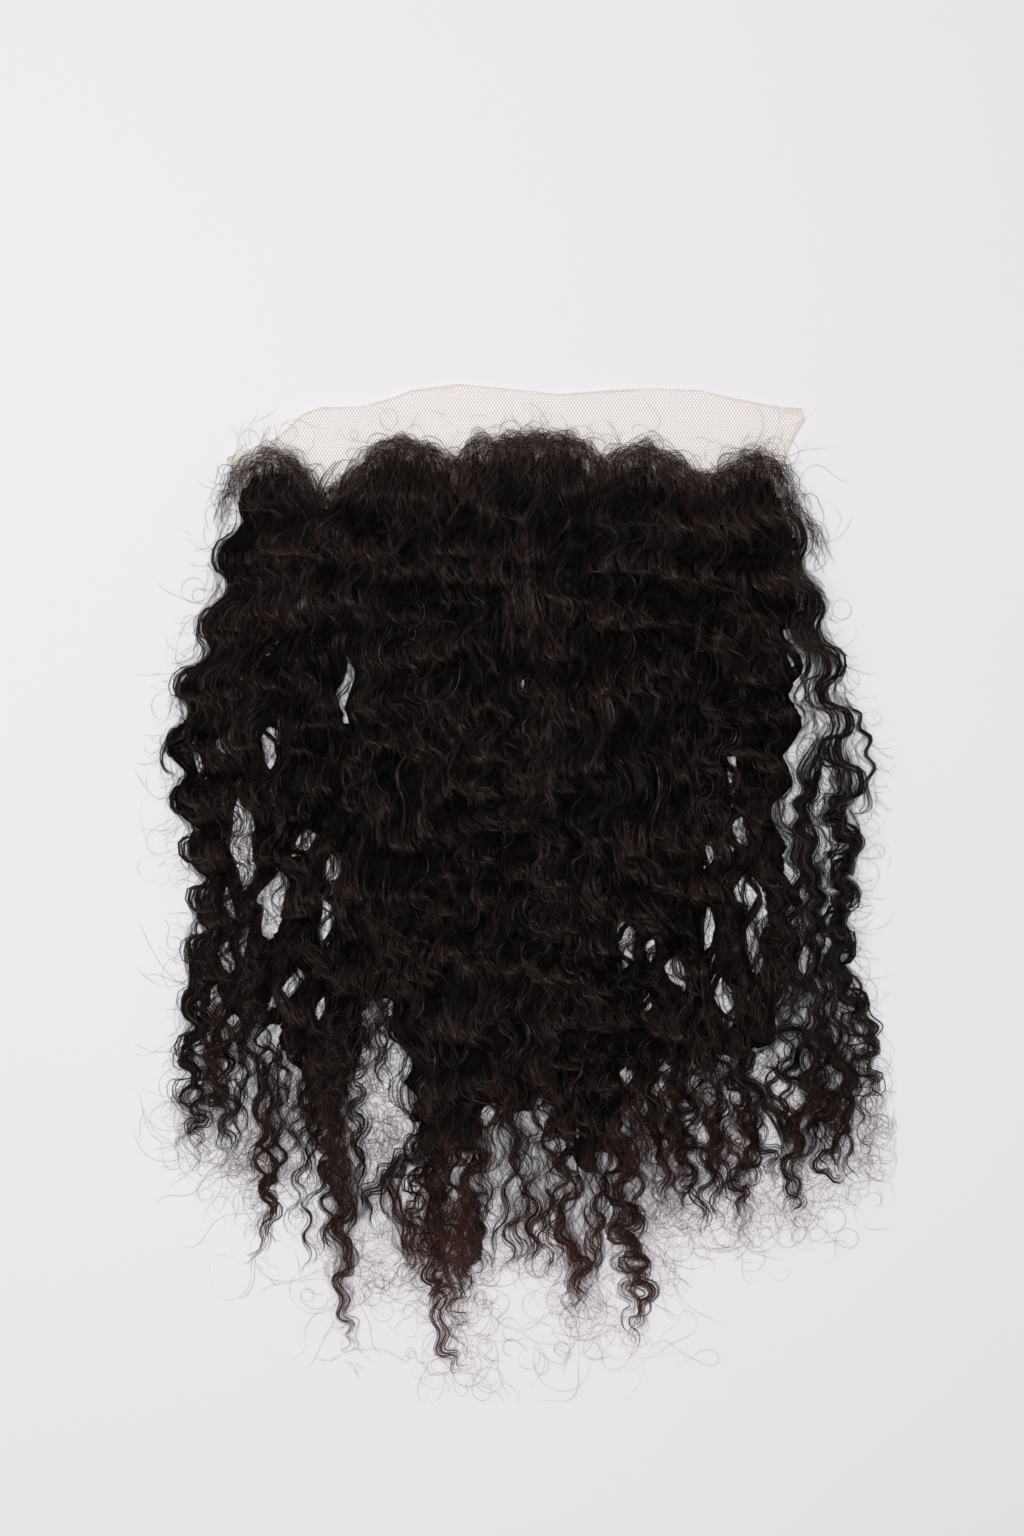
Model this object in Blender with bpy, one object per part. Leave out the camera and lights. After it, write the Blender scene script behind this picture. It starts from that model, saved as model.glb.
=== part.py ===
"""Curly lace frontal laid flat: a lace base with five sections of wavy hair tied into it.

Metres, +Z up. The surface it lies on is z = 0 and the origin is the centre of the lace's
underside. +Y points to the lace's bare front edge, and the hair runs towards -Y.
"""
import math

import bmesh
import bpy
import numpy as np
from mathutils import Vector
from mathutils.geometry import delaunay_2d_cdt

# Lace base
LACE_WIDTH = 0.330
LACE_DEPTH = 0.102
LACE_THICKNESS = 0.001
TURNED_EDGE_LIFT = 0.001
TURNED_EDGE_WIDTH = 0.005

# Hair
HAIR_LENGTH = 0.540
HAIRLINE_SETBACK = 0.023
HAIR_LOFT = 0.019
ROOT_LOFT = 0.006
EDGE_THICKNESS = 0.0016
TIP_WIDTH = 0.0034
WAVE_AT_ROOTS = 0.041
WAVE_AT_TIPS = 0.0185
RIPPLE_HEIGHT = 0.0014
LOCK_FULLNESS = 0.72
RIM_RADIUS = 0.011

# Clearances
LACE_CLEARANCE = 0.0003
PARTING_GAP = 0.0004
STEP_RUN = 0.004

# How finely the hair is meshed
FIELD_STEP = 0.0015
OUTLINE_TOLERANCE = 0.0007
SMALLEST_HOLE = 0.000012
CREST_SPACING = 0.0100
CREST_INSET = 0.0030
PARTING_SPACING = 0.020
MIDDLE_SPACING = 0.6 * CREST_SPACING
FILL_SPACING = 0.7 * CREST_SPACING
FIELD_MARGIN = 0.020
PINCH_RADIUS = 0.0022
SAME_POINT = 1e-7

# A lock's outline stays this share of a grid step clear of the grid's own points
CROSSING_CLEARANCE = 0.08

SHARE = 0.01

# Lace outline from the left end round the front edge and back: x in percent of the lace's
# width, depth in percent of its depth behind the front edge, lift in percent of the lift
# of a turned edge
LACE_OUTLINE = [
    # x, depth, lift
    (-46.5, 100, 0),
    (-47.0, 60, 0),
    (-48.6, 47, 0),
    (-50.3, 38, 100),
    (-46.0, 33, 100),
    (-41.6, 27, 80),
    (-37.3, 14, 30),
    (-34.1, 9.5, 0),
    (-26.8, 9.5, 30),
    (-21.6, 4.5, 0),
    (-18.0, 0.0, 0),
    (-10.0, -3.5, 30),
    (1.0, 0.0, 0),
    (7.5, 2.3, 0),
    (16.4, 0.0, 60),
    (23.0, -1.0, 0),
    (31.9, 0.0, 30),
    (38.0, 4.5, 0),
    (45.8, 9.5, 30),
    (49.8, 10, 100),
    (50.5, 17, 100),
    (49.0, 24, 100),
    (47.0, 39, 20),
    (46.0, 52, 0),
    (46.0, 100, 0),
]

# Creases pressed into the bare lace: ends in the same percents, and their lift
LACE_CREASES = [
    # x0, depth0, x1, depth1, lift
    (15.2, 5, 10.8, 18, 60),
    (24.6, 5, 27.6, 15, 40),
    (-30.0, 14, -24.0, 22, 40),
    (35.0, 8, 41.0, 24, 40),
]

# Locks of hair. from and to are percents of the hair's length behind the hairline; the six
# x are the lock's middle, evenly spaced from root to tip, and the four w its width, both in
# percent of the lace's width; swing is the side to side wave in the same percent, and phase
# its start in turns
LOCKS = [
    # from, to,   x0, x1, x2, x3, x4, x5,                w0, w1, w2, w3,   swing, phase
    (3.0, 78.5, -44.8, -50.2, -57.0, -52.6, -55.8, -57.0, 6.0, 6.0, 3.4, 0.8, 1.1, 0.90),
    (2.6, 75.0, -41.5, -45.5, -52.6, -51.4, -52.0, -52.8, 6.0, 5.5, 4.2, 1.2, 0.9, 0.90),
    (3.6, 77.5, -38.8, -43.6, -48.5, -49.0, -50.4, -50.6, 5.0, 5.5, 4.8, 2.6, 0.9, 0.20),
    (5.8, 73.0, -34.8, -40.0, -44.3, -44.6, -45.4, -43.5, 5.0, 5.0, 6.2, 3.8, 0.9, 0.10),
    (66.0, 88.5, -43.0, -43.0, -43.0, -43.2, -43.0, -45.8, 4.0, 7.6, 1.8, 0.8, 0.5, 0.60),
    (52.0, 78.0, -39.5, -39.6, -39.4, -38.8, -37.8, -36.5, 3.0, 4.8, 4.2, 1.4, 0.7, 0.20),
    (5.4, 98.5, -31.0, -37.0, -39.0, -37.0, -31.2, -28.8, 6.0, 5.8, 4.8, 0.9, 0.9, 0.30),
    (3.6, 82.0, -27.0, -31.5, -34.5, -34.6, -32.5, -30.5, 7.0, 7.0, 5.8, 3.0, 0.8, 0.30),
    (1.9, 88.0, -22.5, -25.5, -27.8, -28.8, -29.4, -27.4, 7.0, 7.2, 6.0, 2.6, 0.8, 0.35),
    (1.2, 67.5, -18.0, -19.8, -21.8, -23.2, -24.0, -24.4, 7.0, 7.5, 7.0, 3.4, 0.8, 0.40),
    (2.4, 93.0, -13.4, -15.0, -17.5, -18.6, -16.0, -16.8, 6.5, 7.2, 6.6, 1.0, 0.9, 0.45),
    (75.0, 83.0, -13.5, -17.0, -20.5, -23.5, -26.5, -28.5, 2.5, 4.0, 4.0, 2.6, 0.0, 0.0),
    (77.0, 91.0, -22.0, -21.5, -20.6, -19.2, -17.8, -17.0, 4.0, 4.6, 4.0, 1.0, 0.4, 0.50),
    (1.4, 99.5, -7.6, -10.0, -12.0, -13.2, -13.6, -9.0, 6.5, 7.2, 6.2, 0.8, 0.9, 0.50),
    (48.0, 90.0, -9.6, -10.0, -10.4, -10.8, -10.6, -10.2, 3.0, 5.0, 4.8, 1.4, 0.8, 0.50),
    (1.2, 94.0, -2.4, -4.0, -5.6, -7.0, -7.2, -9.0, 6.5, 7.4, 6.8, 1.0, 0.9, 0.50),
    (48.0, 84.5, -3.2, -3.4, -3.6, -3.6, -3.6, -3.0, 3.0, 5.0, 5.0, 1.6, 0.8, 0.50),
    (0.8, 87.0, 3.6, 3.0, 2.0, 0.8, 0.0, 1.2, 7.0, 7.4, 6.8, 2.4, 0.9, 0.55),
    (30.0, 84.0, 6.2, 5.6, 4.8, 4.4, 4.2, 4.4, 3.0, 5.4, 5.0, 2.0, 0.8, 0.55),
    (1.0, 95.0, 10.0, 9.2, 7.6, 7.6, 8.8, 10.4, 7.0, 7.4, 6.8, 1.0, 1.0, 0.60),
    (45.0, 92.5, 9.5, 10.4, 11.2, 12.4, 13.2, 13.4, 3.0, 5.8, 5.8, 1.8, 0.8, 0.60),
    (2.8, 97.0, 17.0, 16.0, 14.4, 15.0, 18.0, 21.5, 6.5, 7.4, 6.2, 0.8, 1.0, 0.62),
    (1.9, 84.0, 22.4, 22.4, 21.4, 21.4, 20.8, 22.4, 7.0, 7.4, 6.2, 2.2, 1.0, 0.64),
    (54.0, 83.0, 25.0, 24.6, 24.0, 23.6, 25.4, 26.6, 4.0, 5.5, 5.2, 2.2, 0.7, 0.64),
    (3.2, 83.5, 27.2, 28.4, 28.0, 27.0, 28.2, 28.6, 6.4, 7.4, 6.6, 2.2, 1.0, 0.66),
    (4.8, 80.0, 33.2, 35.0, 34.8, 32.8, 33.4, 32.6, 6.0, 7.4, 7.2, 3.6, 1.0, 0.68),
    (3.4, 87.0, 38.6, 40.8, 40.8, 37.8, 39.8, 39.2, 6.5, 7.4, 5.6, 0.8, 1.0, 0.70),
    (54.0, 69.0, 43.8, 43.8, 43.4, 43.0, 42.4, 41.6, 3.0, 5.6, 5.2, 2.5, 0.5, 0.70),
    (3.2, 67.0, 42.8, 44.8, 46.0, 43.8, 46.8, 47.4, 6.0, 7.2, 5.6, 4.8, 0.9, 0.72),
    (4.8, 36.0, 44.8, 47.4, 49.8, 51.8, 53.4, 54.6, 4.6, 4.8, 4.6, 2.8, 0.8, 0.74),
    (31.0, 73.5, 54.2, 50.2, 51.6, 51.8, 53.0, 55.2, 2.4, 2.0, 3.0, 1.6, 0.5, 0.74),
    (12.0, 77.0, 47.6, 53.8, 56.6, 55.8, 59.4, 62.4, 4.0, 5.4, 2.8, 0.9, 1.1, 0.74),
    (28.5, 42.0, 57.5, 60.0, 61.5, 61.6, 60.0, 57.8, 1.0, 1.3, 1.3, 1.0, 0.0, 0.0),
    (51.0, 75.0, 54.8, 55.0, 55.6, 57.2, 58.2, 57.8, 1.2, 2.0, 2.2, 1.2, 0.5, 0.74),
    (60.0, 84.0, 51.0, 52.0, 51.8, 50.2, 48.0, 47.8, 4.0, 4.6, 3.6, 0.8, 0.6, 0.30),
    (70.0, 78.5, 44.0, 45.6, 47.0, 47.8, 48.4, 49.0, 2.2, 4.6, 4.6, 2.2, 0.0, 0.0),
    (63.0, 80.5, 53.0, 57.0, 57.8, 56.6, 54.0, 58.0, 1.4, 1.7, 1.5, 0.9, 0.0, 0.0),
]

# Openings between the locks, where the surface shows: middle and size in the same
# percents, tilt in degrees from the hair's own direction
WINDOWS = [
    # x, back, wide, tall, tilt
    (-29.5, 27.5, 1.8, 3.9, 0),
    (-44.2, 24.0, 1.1, 8.0, 38),
    (-36.6, 43.6, 5.0, 2.2, -30),
    (-31.7, 46.6, 3.0, 2.8, 0),
    (-42.2, 50.2, 3.8, 6.6, 20),
    (-46.6, 48.2, 1.2, 2.6, 0),
    (-32.9, 52.3, 2.7, 4.8, 12),
    (-50.3, 55.8, 2.8, 3.8, 0),
    (-47.2, 54.4, 1.7, 3.0, 0),
    (-52.0, 61.0, 2.6, 4.4, -10),
    (-49.2, 63.4, 2.8, 3.2, 15),
    (-33.8, 61.5, 1.8, 3.0, 15),
    (-38.2, 59.0, 1.4, 4.4, 60),
    (-43.2, 66.5, 3.0, 1.7, 0),
    (-38.4, 69.8, 2.8, 4.2, 15),
    (-43.3, 77.9, 4.4, 3.0, 0),
    (-22.4, 69.6, 6.2, 8.8, 10),
    (-24.0, 75.0, 5.6, 7.2, -10),
    (-16.0, 82.2, 2.8, 3.4, 0),
    (-10.8, 82.4, 3.8, 3.4, 0),
    (-10.6, 86.8, 3.2, 5.4, 10),
    (-4.9, 72.8, 2.8, 2.4, 0),
    (5.0, 73.0, 2.0, 2.8, 0),
    (19.6, 54.5, 3.2, 3.8, 0),
    (23.6, 55.6, 1.8, 2.6, 10),
    (23.0, 60.8, 1.6, 2.4, -40),
    (27.8, 57.5, 3.4, 3.2, 0),
    (33.8, 52.9, 2.3, 5.0, 0),
    (33.9, 45.1, 1.5, 2.6, 0),
    (37.5, 36.8, 1.4, 2.2, 0),
    (39.1, 42.5, 3.2, 3.5, 0),
    (39.6, 48.7, 3.6, 5.0, -50),
    (43.4, 51.8, 2.2, 1.7, -20),
    (41.2, 54.6, 2.2, 3.8, -15),
    (36.6, 60.4, 3.6, 4.6, -15),
    (50.2, 55.8, 1.6, 3.4, 15),
    (50.8, 34.0, 2.6, 3.4, 35),
    (46.7, 40.8, 3.0, 4.8, 20),
    (48.5, 25.4, 1.2, 6.0, -25),
    (43.0, 68.0, 4.0, 3.6, 0),
    (47.2, 70.8, 5.0, 2.6, -15),
    (54.8, 68.2, 2.2, 2.0, 0),
    (25.2, 70.2, 3.6, 2.0, 0),
    (29.8, 72.5, 3.2, 3.2, 0),
    (27.0, 76.2, 2.6, 3.8, -10),
    (33.0, 76.0, 3.0, 4.6, 0),
    (37.2, 73.0, 3.2, 2.8, 0),
    (38.4, 76.8, 3.4, 2.8, 20),
]

# Partings between the sections, from in front of the hairline to past the tips: x in
# percent of the lace's width at each percent of the hair's length
PARTINGS = [
    [(-34.8, -8), (-35.0, 5), (-42.0, 20), (-46.2, 27), (-46.8, 46), (-48.2, 58),
     (-47.4, 72), (-47.0, 108)],
    [(-10.6, -8), (-10.6, 4), (-12.6, 21), (-14.8, 40), (-16.2, 58), (-15.2, 76),
     (-15.2, 90), (-15.0, 108)],
    [(14.2, -8), (14.2, 5), (12.6, 22), (11.0, 40), (12.8, 56), (15.2, 70), (15.4, 84),
     (15.4, 108)],
    [(30.6, -8), (30.6, 6), (31.8, 20), (31.4, 36), (29.7, 50), (30.8, 66), (30.6, 80),
     (30.6, 108)],
]

SECTION_NAMES = ["hair_left_temple", "hair_left", "hair_centre", "hair_right",
                 "hair_right_temple"]


def side(share):
    """X of a place given in percent of the lace's width."""
    return share * SHARE * LACE_WIDTH


def back(share):
    """Y of a place given in percent of the hair's length behind the hairline."""
    return LACE_DEPTH / 2 - HAIRLINE_SETBACK - share * SHARE * HAIR_LENGTH


def lace_y(share):
    """Y of a place given in percent of the lace's depth behind its front edge."""
    return LACE_DEPTH / 2 - share * SHARE * LACE_DEPTH


def wave_turns(y):
    """Turns of the hair's wave from the hairline to y; the waves shorten to the tips."""
    run = np.maximum(back(0) - y, 0.0) / HAIR_LENGTH
    shortening = WAVE_AT_TIPS / WAVE_AT_ROOTS - 1
    pace = np.log1p(shortening * run) / shortening
    return HAIR_LENGTH / WAVE_AT_ROOTS * pace


def smooth_step(value):
    value = np.clip(value, 0.0, 1.0)
    return value * value * (3 - 2 * value)


def through(knots, along):
    """A smooth curve through evenly spaced knots, read at the shares along."""
    knots = np.array(knots, float)
    ends = np.concatenate([[2 * knots[0] - knots[1]], knots, [2 * knots[-1] - knots[-2]]])
    place = np.clip(along, 0, 1) * (len(knots) - 1)
    first = np.minimum(place.astype(int), len(knots) - 2)
    part = place - first
    before, start, end, after = (ends[first + step] for step in range(4))
    return (start + 0.5 * part * (end - before + part * (2 * before - 5 * start + 4 * end - after
            + part * (3 * (start - end) + after - before))))


def lock_line(lock):
    """Middle, half width and height of a lock at close stations from root to tip."""
    start, finish = lock[0], lock[1]
    widths = lock[8:12]
    root_radius = side(widths[0]) / 2
    top = back(start) - root_radius
    bottom = back(finish)
    stations = max(int((top - bottom) / FIELD_STEP), 8)
    along = np.linspace(0, 1, stations)
    y = top + (bottom - top) * along
    swing = side(lock[12]) * smooth_step((top - y) / WAVE_AT_ROOTS)
    x = side(through(lock[2:8], along)) + swing * np.sin(math.tau * (wave_turns(y) + lock[13]))
    radius = np.maximum(side(np.interp(along, np.linspace(0, 1, 4), widths)), TIP_WIDTH) / 2
    rise = ROOT_LOFT + (HAIR_LOFT - ROOT_LOFT) * smooth_step((back(0) - y) / LACE_DEPTH)
    height = np.minimum(rise, 2 * radius * LOCK_FULLNESS)
    return x, y, radius, height


class HairField:
    """How far inside the hair each point of a grid lies, and how high the hair is there."""

    def __init__(self):
        half = side(max(abs(x) for lock in LOCKS for x in lock[2:8])) + FIELD_MARGIN
        low = back(max(lock[1] for lock in LOCKS)) - FIELD_MARGIN
        high = back(0) + FIELD_MARGIN
        self.x = np.arange(-half, half, FIELD_STEP)
        self.y = np.arange(low, high, FIELD_STEP)
        self.inside = np.full((len(self.x), len(self.y)), -FIELD_MARGIN)
        self.height = np.zeros_like(self.inside)
        for lock in LOCKS:
            self.add_lock(lock)
        for window in WINDOWS:
            self.cut_window(window)
        turns = wave_turns(self.y)[None, :]
        ripple = RIPPLE_HEIGHT * np.cos(math.tau * (turns + self.x[:, None] / LACE_WIDTH))
        self.height += ripple * smooth_step(self.height / HAIR_LOFT)
        rim = np.sqrt(2 * RIM_RADIUS * np.maximum(self.inside, 0))
        self.height = np.minimum(self.height, rim)

    def around(self, x, y, reach):
        i = slice(*np.searchsorted(self.x, (x - reach, x + reach)))
        j = slice(*np.searchsorted(self.y, (y - reach, y + reach)))
        return i, j

    def add_lock(self, lock):
        margin = 2 * FIELD_STEP
        for x, y, radius, height in zip(*lock_line(lock)):
            i, j = self.around(x, y, radius + margin)
            away = np.hypot(self.x[i, None] - x, self.y[None, j] - y)
            self.inside[i, j] = np.maximum(self.inside[i, j], radius - away)
            dome = height * np.sqrt(np.maximum(1 - (away / radius) ** 2, 0))
            self.height[i, j] = np.maximum(self.height[i, j], dome)

    def cut_window(self, window):
        x, y = side(window[0]), back(window[1])
        wide = side(window[2]) / 2
        tall = window[3] * SHARE * HAIR_LENGTH / 2
        tilt = math.radians(window[4])
        i, j = self.around(x, y, 2 * max(wide, tall))
        dx, dy = self.x[i, None] - x, self.y[None, j] - y
        across = (dx * math.cos(tilt) - dy * math.sin(tilt)) / wide
        along = (dx * math.sin(tilt) + dy * math.cos(tilt)) / tall
        outside = (np.hypot(across, along) - 1) * min(wide, tall)
        self.inside[i, j] = np.minimum(self.inside[i, j], outside)

    def cut_pinch(self, x, y):
        """Open a place where the outline would meet itself."""
        i, j = self.around(x, y, 2 * PINCH_RADIUS)
        outside = np.hypot(self.x[i, None] - x, self.y[None, j] - y) - PINCH_RADIUS
        self.inside[i, j] = np.minimum(self.inside[i, j], outside)

    def read(self, grid, points):
        """A grid's value at each point, from its four neighbours."""
        u = np.clip((points[:, 0] - self.x[0]) / FIELD_STEP, 0, len(self.x) - 1.001)
        v = np.clip((points[:, 1] - self.y[0]) / FIELD_STEP, 0, len(self.y) - 1.001)
        i, j = u.astype(int), v.astype(int)
        u, v = u - i, v - j
        low = grid[i, j] * (1 - u) + grid[i + 1, j] * u
        high = grid[i, j + 1] * (1 - u) + grid[i + 1, j + 1] * u
        return low * (1 - v) + high * v

    def outlines(self):
        """Closed loops round the hair, where the field crosses zero between grid points."""
        value = self.inside
        filled = value > 0
        crossing = {}

        def cross(a, b):
            key = (a, b) if a < b else (b, a)
            if key not in crossing:
                one, two = value[key[0]], value[key[1]]
                part = np.clip(one / (one - two), CROSSING_CLEARANCE, 1 - CROSSING_CLEARANCE)
                spots = [np.array((self.x[i], self.y[j])) for i, j in key]
                crossing[key] = spots[0] + part * (spots[1] - spots[0])
            return key

        follow = {}
        cells = filled[:-1, :-1].astype(int) + filled[1:, :-1] + filled[:-1, 1:] + filled[1:, 1:]
        for i, j in zip(*np.nonzero((cells > 0) & (cells < 4))):
            ring = [(i, j), (i + 1, j), (i + 1, j + 1), (i, j + 1)]
            state = [filled[corner] for corner in ring]
            entries, leaves = [], []
            for k in range(4):
                a, b = ring[k], ring[(k + 1) % 4]
                if state[k] and not state[(k + 1) % 4]:
                    entries.append(cross(a, b))
                if not state[k] and state[(k + 1) % 4]:
                    leaves.append((k, cross(a, b)))
            if len(entries) == 1:
                follow[entries[0]] = leaves[0][1]
                continue
            for k in range(4):
                a, b = ring[k], ring[(k + 1) % 4]
                if state[k] and not state[(k + 1) % 4]:
                    before = ring[(k - 1) % 4]
                    follow[cross(a, b)] = cross(before, a)
        loops = []
        while follow:
            first, step = follow.popitem()
            loop = [crossing[first]]
            while step != first:
                loop.append(crossing[step])
                step = follow.pop(step)
            loops.append(np.array(loop))
        return [simplified(loop) for loop in loops if loop_area(loop) > SMALLEST_HOLE]


def loop_area(loop):
    x, y = loop[:, 0], loop[:, 1]
    return abs(np.dot(x, np.roll(y, -1)) - np.dot(y, np.roll(x, -1))) / 2


def simplified(loop):
    """The loop with only the points it needs to stay within the outline tolerance."""
    far = int(np.argmax(np.hypot(*(loop - loop[0]).T)))
    kept = {0, far}
    spans = [(0, far), (far, len(loop))]
    closed = np.vstack([loop, loop[:1]])
    while spans:
        start, end = spans.pop()
        if end - start < 2:
            continue
        run = closed[end] - closed[start]
        length = max(float(np.hypot(*run)), FIELD_STEP / 10)
        between = closed[start + 1:end] - closed[start]
        away = np.abs(between[:, 0] * run[1] - between[:, 1] * run[0]) / length
        worst = int(np.argmax(away))
        if away[worst] > OUTLINE_TOLERANCE:
            middle = start + 1 + worst
            kept.add(middle)
            spans += [(start, middle), (middle, end)]
    return loop[sorted(kept)]


def inside_loops(points, loops):
    """Even and odd test of many points against all the loops at once."""
    odd = np.zeros(len(points), bool)
    x, y = points[:, 0], points[:, 1]
    for loop in loops:
        for (ax, ay), (bx, by) in zip(loop, np.roll(loop, -1, axis=0)):
            between = (ay > y) != (by > y)
            if between.any():
                limit = ax + (y[between] - ay) / (by - ay) * (bx - ax)
                odd[between] ^= x[between] < limit
    return odd


def parting_x(parting, y):
    knots = [(back(row[1]), side(row[0])) for row in reversed(parting)]
    return np.interp(y, [knot[0] for knot in knots], [knot[1] for knot in knots])


def section_of(points):
    """Section number of each point, or -1 within a parting."""
    number = np.zeros(len(points), int)
    parted = np.zeros(len(points), bool)
    for parting in PARTINGS:
        offset = points[:, 0] - parting_x(parting, points[:, 1])
        number += offset > 0
        parted |= np.abs(offset) < PARTING_GAP / 2
    number[parted] = -1
    return number


class Plan:
    """Flat drawing of the hair: outline loops and cut lines, triangulated together."""

    def __init__(self, field):
        self.loops = field.outlines()
        self.points, self.lines = [], []
        for loop in self.loops:
            self.add_line(loop, closed=True)
        for parting in PARTINGS:
            rows = np.array([(side(x), back(y)) for x, y in parting])
            for start, end in zip(rows[:-1], rows[1:]):
                steps = math.ceil(math.dist(start, end) / PARTING_SPACING)
                run = np.linspace(start, end, steps + 1)
                self.add_line(run + (-PARTING_GAP / 2, 0))
                self.add_line(run + (PARTING_GAP / 2, 0))
        reach = field.x[-1]
        for y in step_lines():
            self.add_line([(-reach, y), (reach, y)])

    def add_line(self, points, closed=False):
        first = len(self.points)
        self.points += [Vector((float(x), float(y))) for x, y in points]
        count = len(points)
        self.lines += [(first + k, first + k + 1) for k in range(count - 1)]
        if closed:
            self.lines.append((first + count - 1, first))

    def triangles(self, extra=()):
        """Corner points, and the corners of each triangle with its section number."""
        points = self.points + [Vector((float(x), float(y))) for x, y in extra]
        found = delaunay_2d_cdt(points, self.lines, [], 0, SAME_POINT)
        corners = np.array([tuple(point) for point in found[0]])
        faces = np.array([face for face in found[2]])
        middles = corners[faces].mean(axis=1)
        number = section_of(middles)
        number[~inside_loops(middles, self.loops)] = -1
        return corners, faces, number


    def pinches(self):
        """Places where the rim of a section meets itself."""
        corners, faces, numbers = self.triangles()
        found = []
        for number in range(len(SECTION_NAMES)):
            starts = [start for start, _ in rim_of(faces[numbers == number])]
            index, uses = np.unique(starts, return_counts=True)
            found += list(index[uses > 1])
        return corners[found]


def plan_without_pinches(field):
    plan = Plan(field)
    pinches = plan.pinches()
    while len(pinches):
        for x, y in pinches:
            field.cut_pinch(x, y)
        plan = Plan(field)
        pinches = plan.pinches()
    return plan


def step_lines():
    """Where the hair's underside leaves the lace, and where it reaches the surface."""
    behind = -LACE_DEPTH / 2 - LACE_CLEARANCE
    return behind, behind - STEP_RUN


def underside(y):
    lace_top = LACE_THICKNESS + LACE_CLEARANCE
    leaves, lands = step_lines()
    return np.interp(y, [lands, leaves], [0, lace_top])


def on_loops(points, loops):
    """Whether each point lies on an outline."""
    near = np.zeros(len(points), bool)
    for loop in loops:
        for start, end in zip(loop, np.roll(loop, -1, axis=0)):
            run = end - start
            part = np.clip((points - start) @ run / (run @ run), 0, 1)
            gap = points - start - part[:, None] * run
            near |= np.hypot(*gap.T) < 10 * SAME_POINT
    return near


def crests(field):
    """Points that carry the height of the hair: along the locks, and between them."""
    taken = np.empty((0, 2))
    for lock in LOCKS:
        x, y, _, _ = lock_line(lock)
        stride = max(int(CREST_SPACING / FIELD_STEP), 1)
        line = np.column_stack([x, y])[stride::stride]
        taken = with_new(taken, line, MIDDLE_SPACING)
    rise = CREST_SPACING * math.sqrt(3) / 2
    for row, y in enumerate(np.arange(field.y[0], field.y[-1], rise)):
        shift = CREST_SPACING / 2 * (row % 2)
        line = np.arange(field.x[0] + shift, field.x[-1], CREST_SPACING)
        line = np.column_stack([line, np.full_like(line, y)])
        taken = with_new(taken, line, FILL_SPACING)
    depth = field.read(field.inside, taken)
    clear = (depth > CREST_INSET) | lock_middles(field, taken, depth)
    clear &= parting_gap(taken) > 2 * EDGE_THICKNESS
    for y in step_lines():
        clear &= np.abs(taken[:, 1] - y) > EDGE_THICKNESS
    kept = taken[clear]
    return np.vstack([kept, step_points(field)])


def with_new(taken, points, spacing):
    """The taken points, and those of the new ones that lie no closer than the spacing."""
    kept = []
    for point in points:
        if not len(taken) or np.hypot(*(taken - point).T).min() > spacing:
            kept.append(point)
    return np.vstack([taken, kept]) if kept else taken


def lock_middles(field, points, depth):
    """Whether a point is the middle of a lock too narrow to hold the usual inset."""
    beside = [field.read(field.inside, points + shift)
              for shift in ((FIELD_STEP, 0), (-FIELD_STEP, 0))]
    return (depth > TIP_WIDTH / 3) & (depth >= np.max(beside, axis=0))


def step_points(field):
    """Points that hold the hair's height over the two step lines of its underside."""
    points = []
    for y in step_lines():
        line = np.arange(field.x[0], field.x[-1], CREST_SPACING)
        points.append(np.column_stack([line, np.full_like(line, y)]))
    points = np.vstack(points)
    clear = field.read(field.inside, points) > CREST_INSET
    return points[clear & (parting_gap(points) > 2 * EDGE_THICKNESS)]


def parting_gap(points):
    """Sideways distance to the nearest parting."""
    return np.min([np.abs(points[:, 0] - parting_x(parting, points[:, 1]))
                   for parting in PARTINGS], axis=0)


def largest_part(faces):
    """The faces that hang together in the largest connected group."""
    beside = {}
    for index, face in enumerate(faces):
        for k in range(3):
            beside.setdefault(frozenset((face[k], face[(k + 1) % 3])), []).append(index)
    left = set(range(len(faces)))
    best = []
    while left:
        group, queue = [], [left.pop()]
        while queue:
            index = queue.pop()
            group.append(index)
            face = faces[index]
            for k in range(3):
                for other in beside[frozenset((face[k], face[(k + 1) % 3]))]:
                    if other in left:
                        left.remove(other)
                        queue.append(other)
        best = max(best, group, key=len)
    return faces[sorted(best)]


def rim_of(faces):
    """Directed edges that only one face uses."""
    edges = {(face[k], face[(k + 1) % 3]) for face in faces for k in range(3)}
    return [(a, b) for a, b in edges if (b, a) not in edges]


def section_mesh(field, plan, top, bottom, number):
    """One closed body: a waved top, a flat underside and a wall round the rim."""
    corners, faces, numbers = top
    faces = largest_part(faces[numbers == number])
    low_corners, low_faces, low_numbers = bottom
    low_faces = low_faces[low_numbers == number]
    mesh = bmesh.new()
    places = {}

    def key(point):
        return round(point[0] / SAME_POINT), round(point[1] / SAME_POINT)

    used = np.unique(faces)
    ground = underside(corners[:, 1])
    height = ground + np.maximum(field.read(field.height, corners), EDGE_THICKNESS)
    height[on_loops(corners, plan.loops)] = 0
    height = np.maximum(height, ground + EDGE_THICKNESS)
    high = {index: mesh.verts.new((*corners[index], height[index])) for index in used}
    low = {}
    for a, b in rim_of(faces):
        for index in (a, b):
            if index not in low:
                low[index] = mesh.verts.new((*corners[index], ground[index]))
                places[key(corners[index])] = low[index]
        mesh.faces.new((high[b], high[a], low[a], low[b]))
    for face in faces:
        mesh.faces.new([high[index] for index in face])
    for face in connected_floor(low_corners, low_faces, places, key):
        mesh.faces.new([places[key(low_corners[index])] for index in reversed(face)])
    return mesh


def connected_floor(corners, faces, places, key):
    """The underside's faces whose corners all belong to the kept rim."""
    return [face for face in faces if all(key(corners[index]) in places for index in face)]


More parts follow.
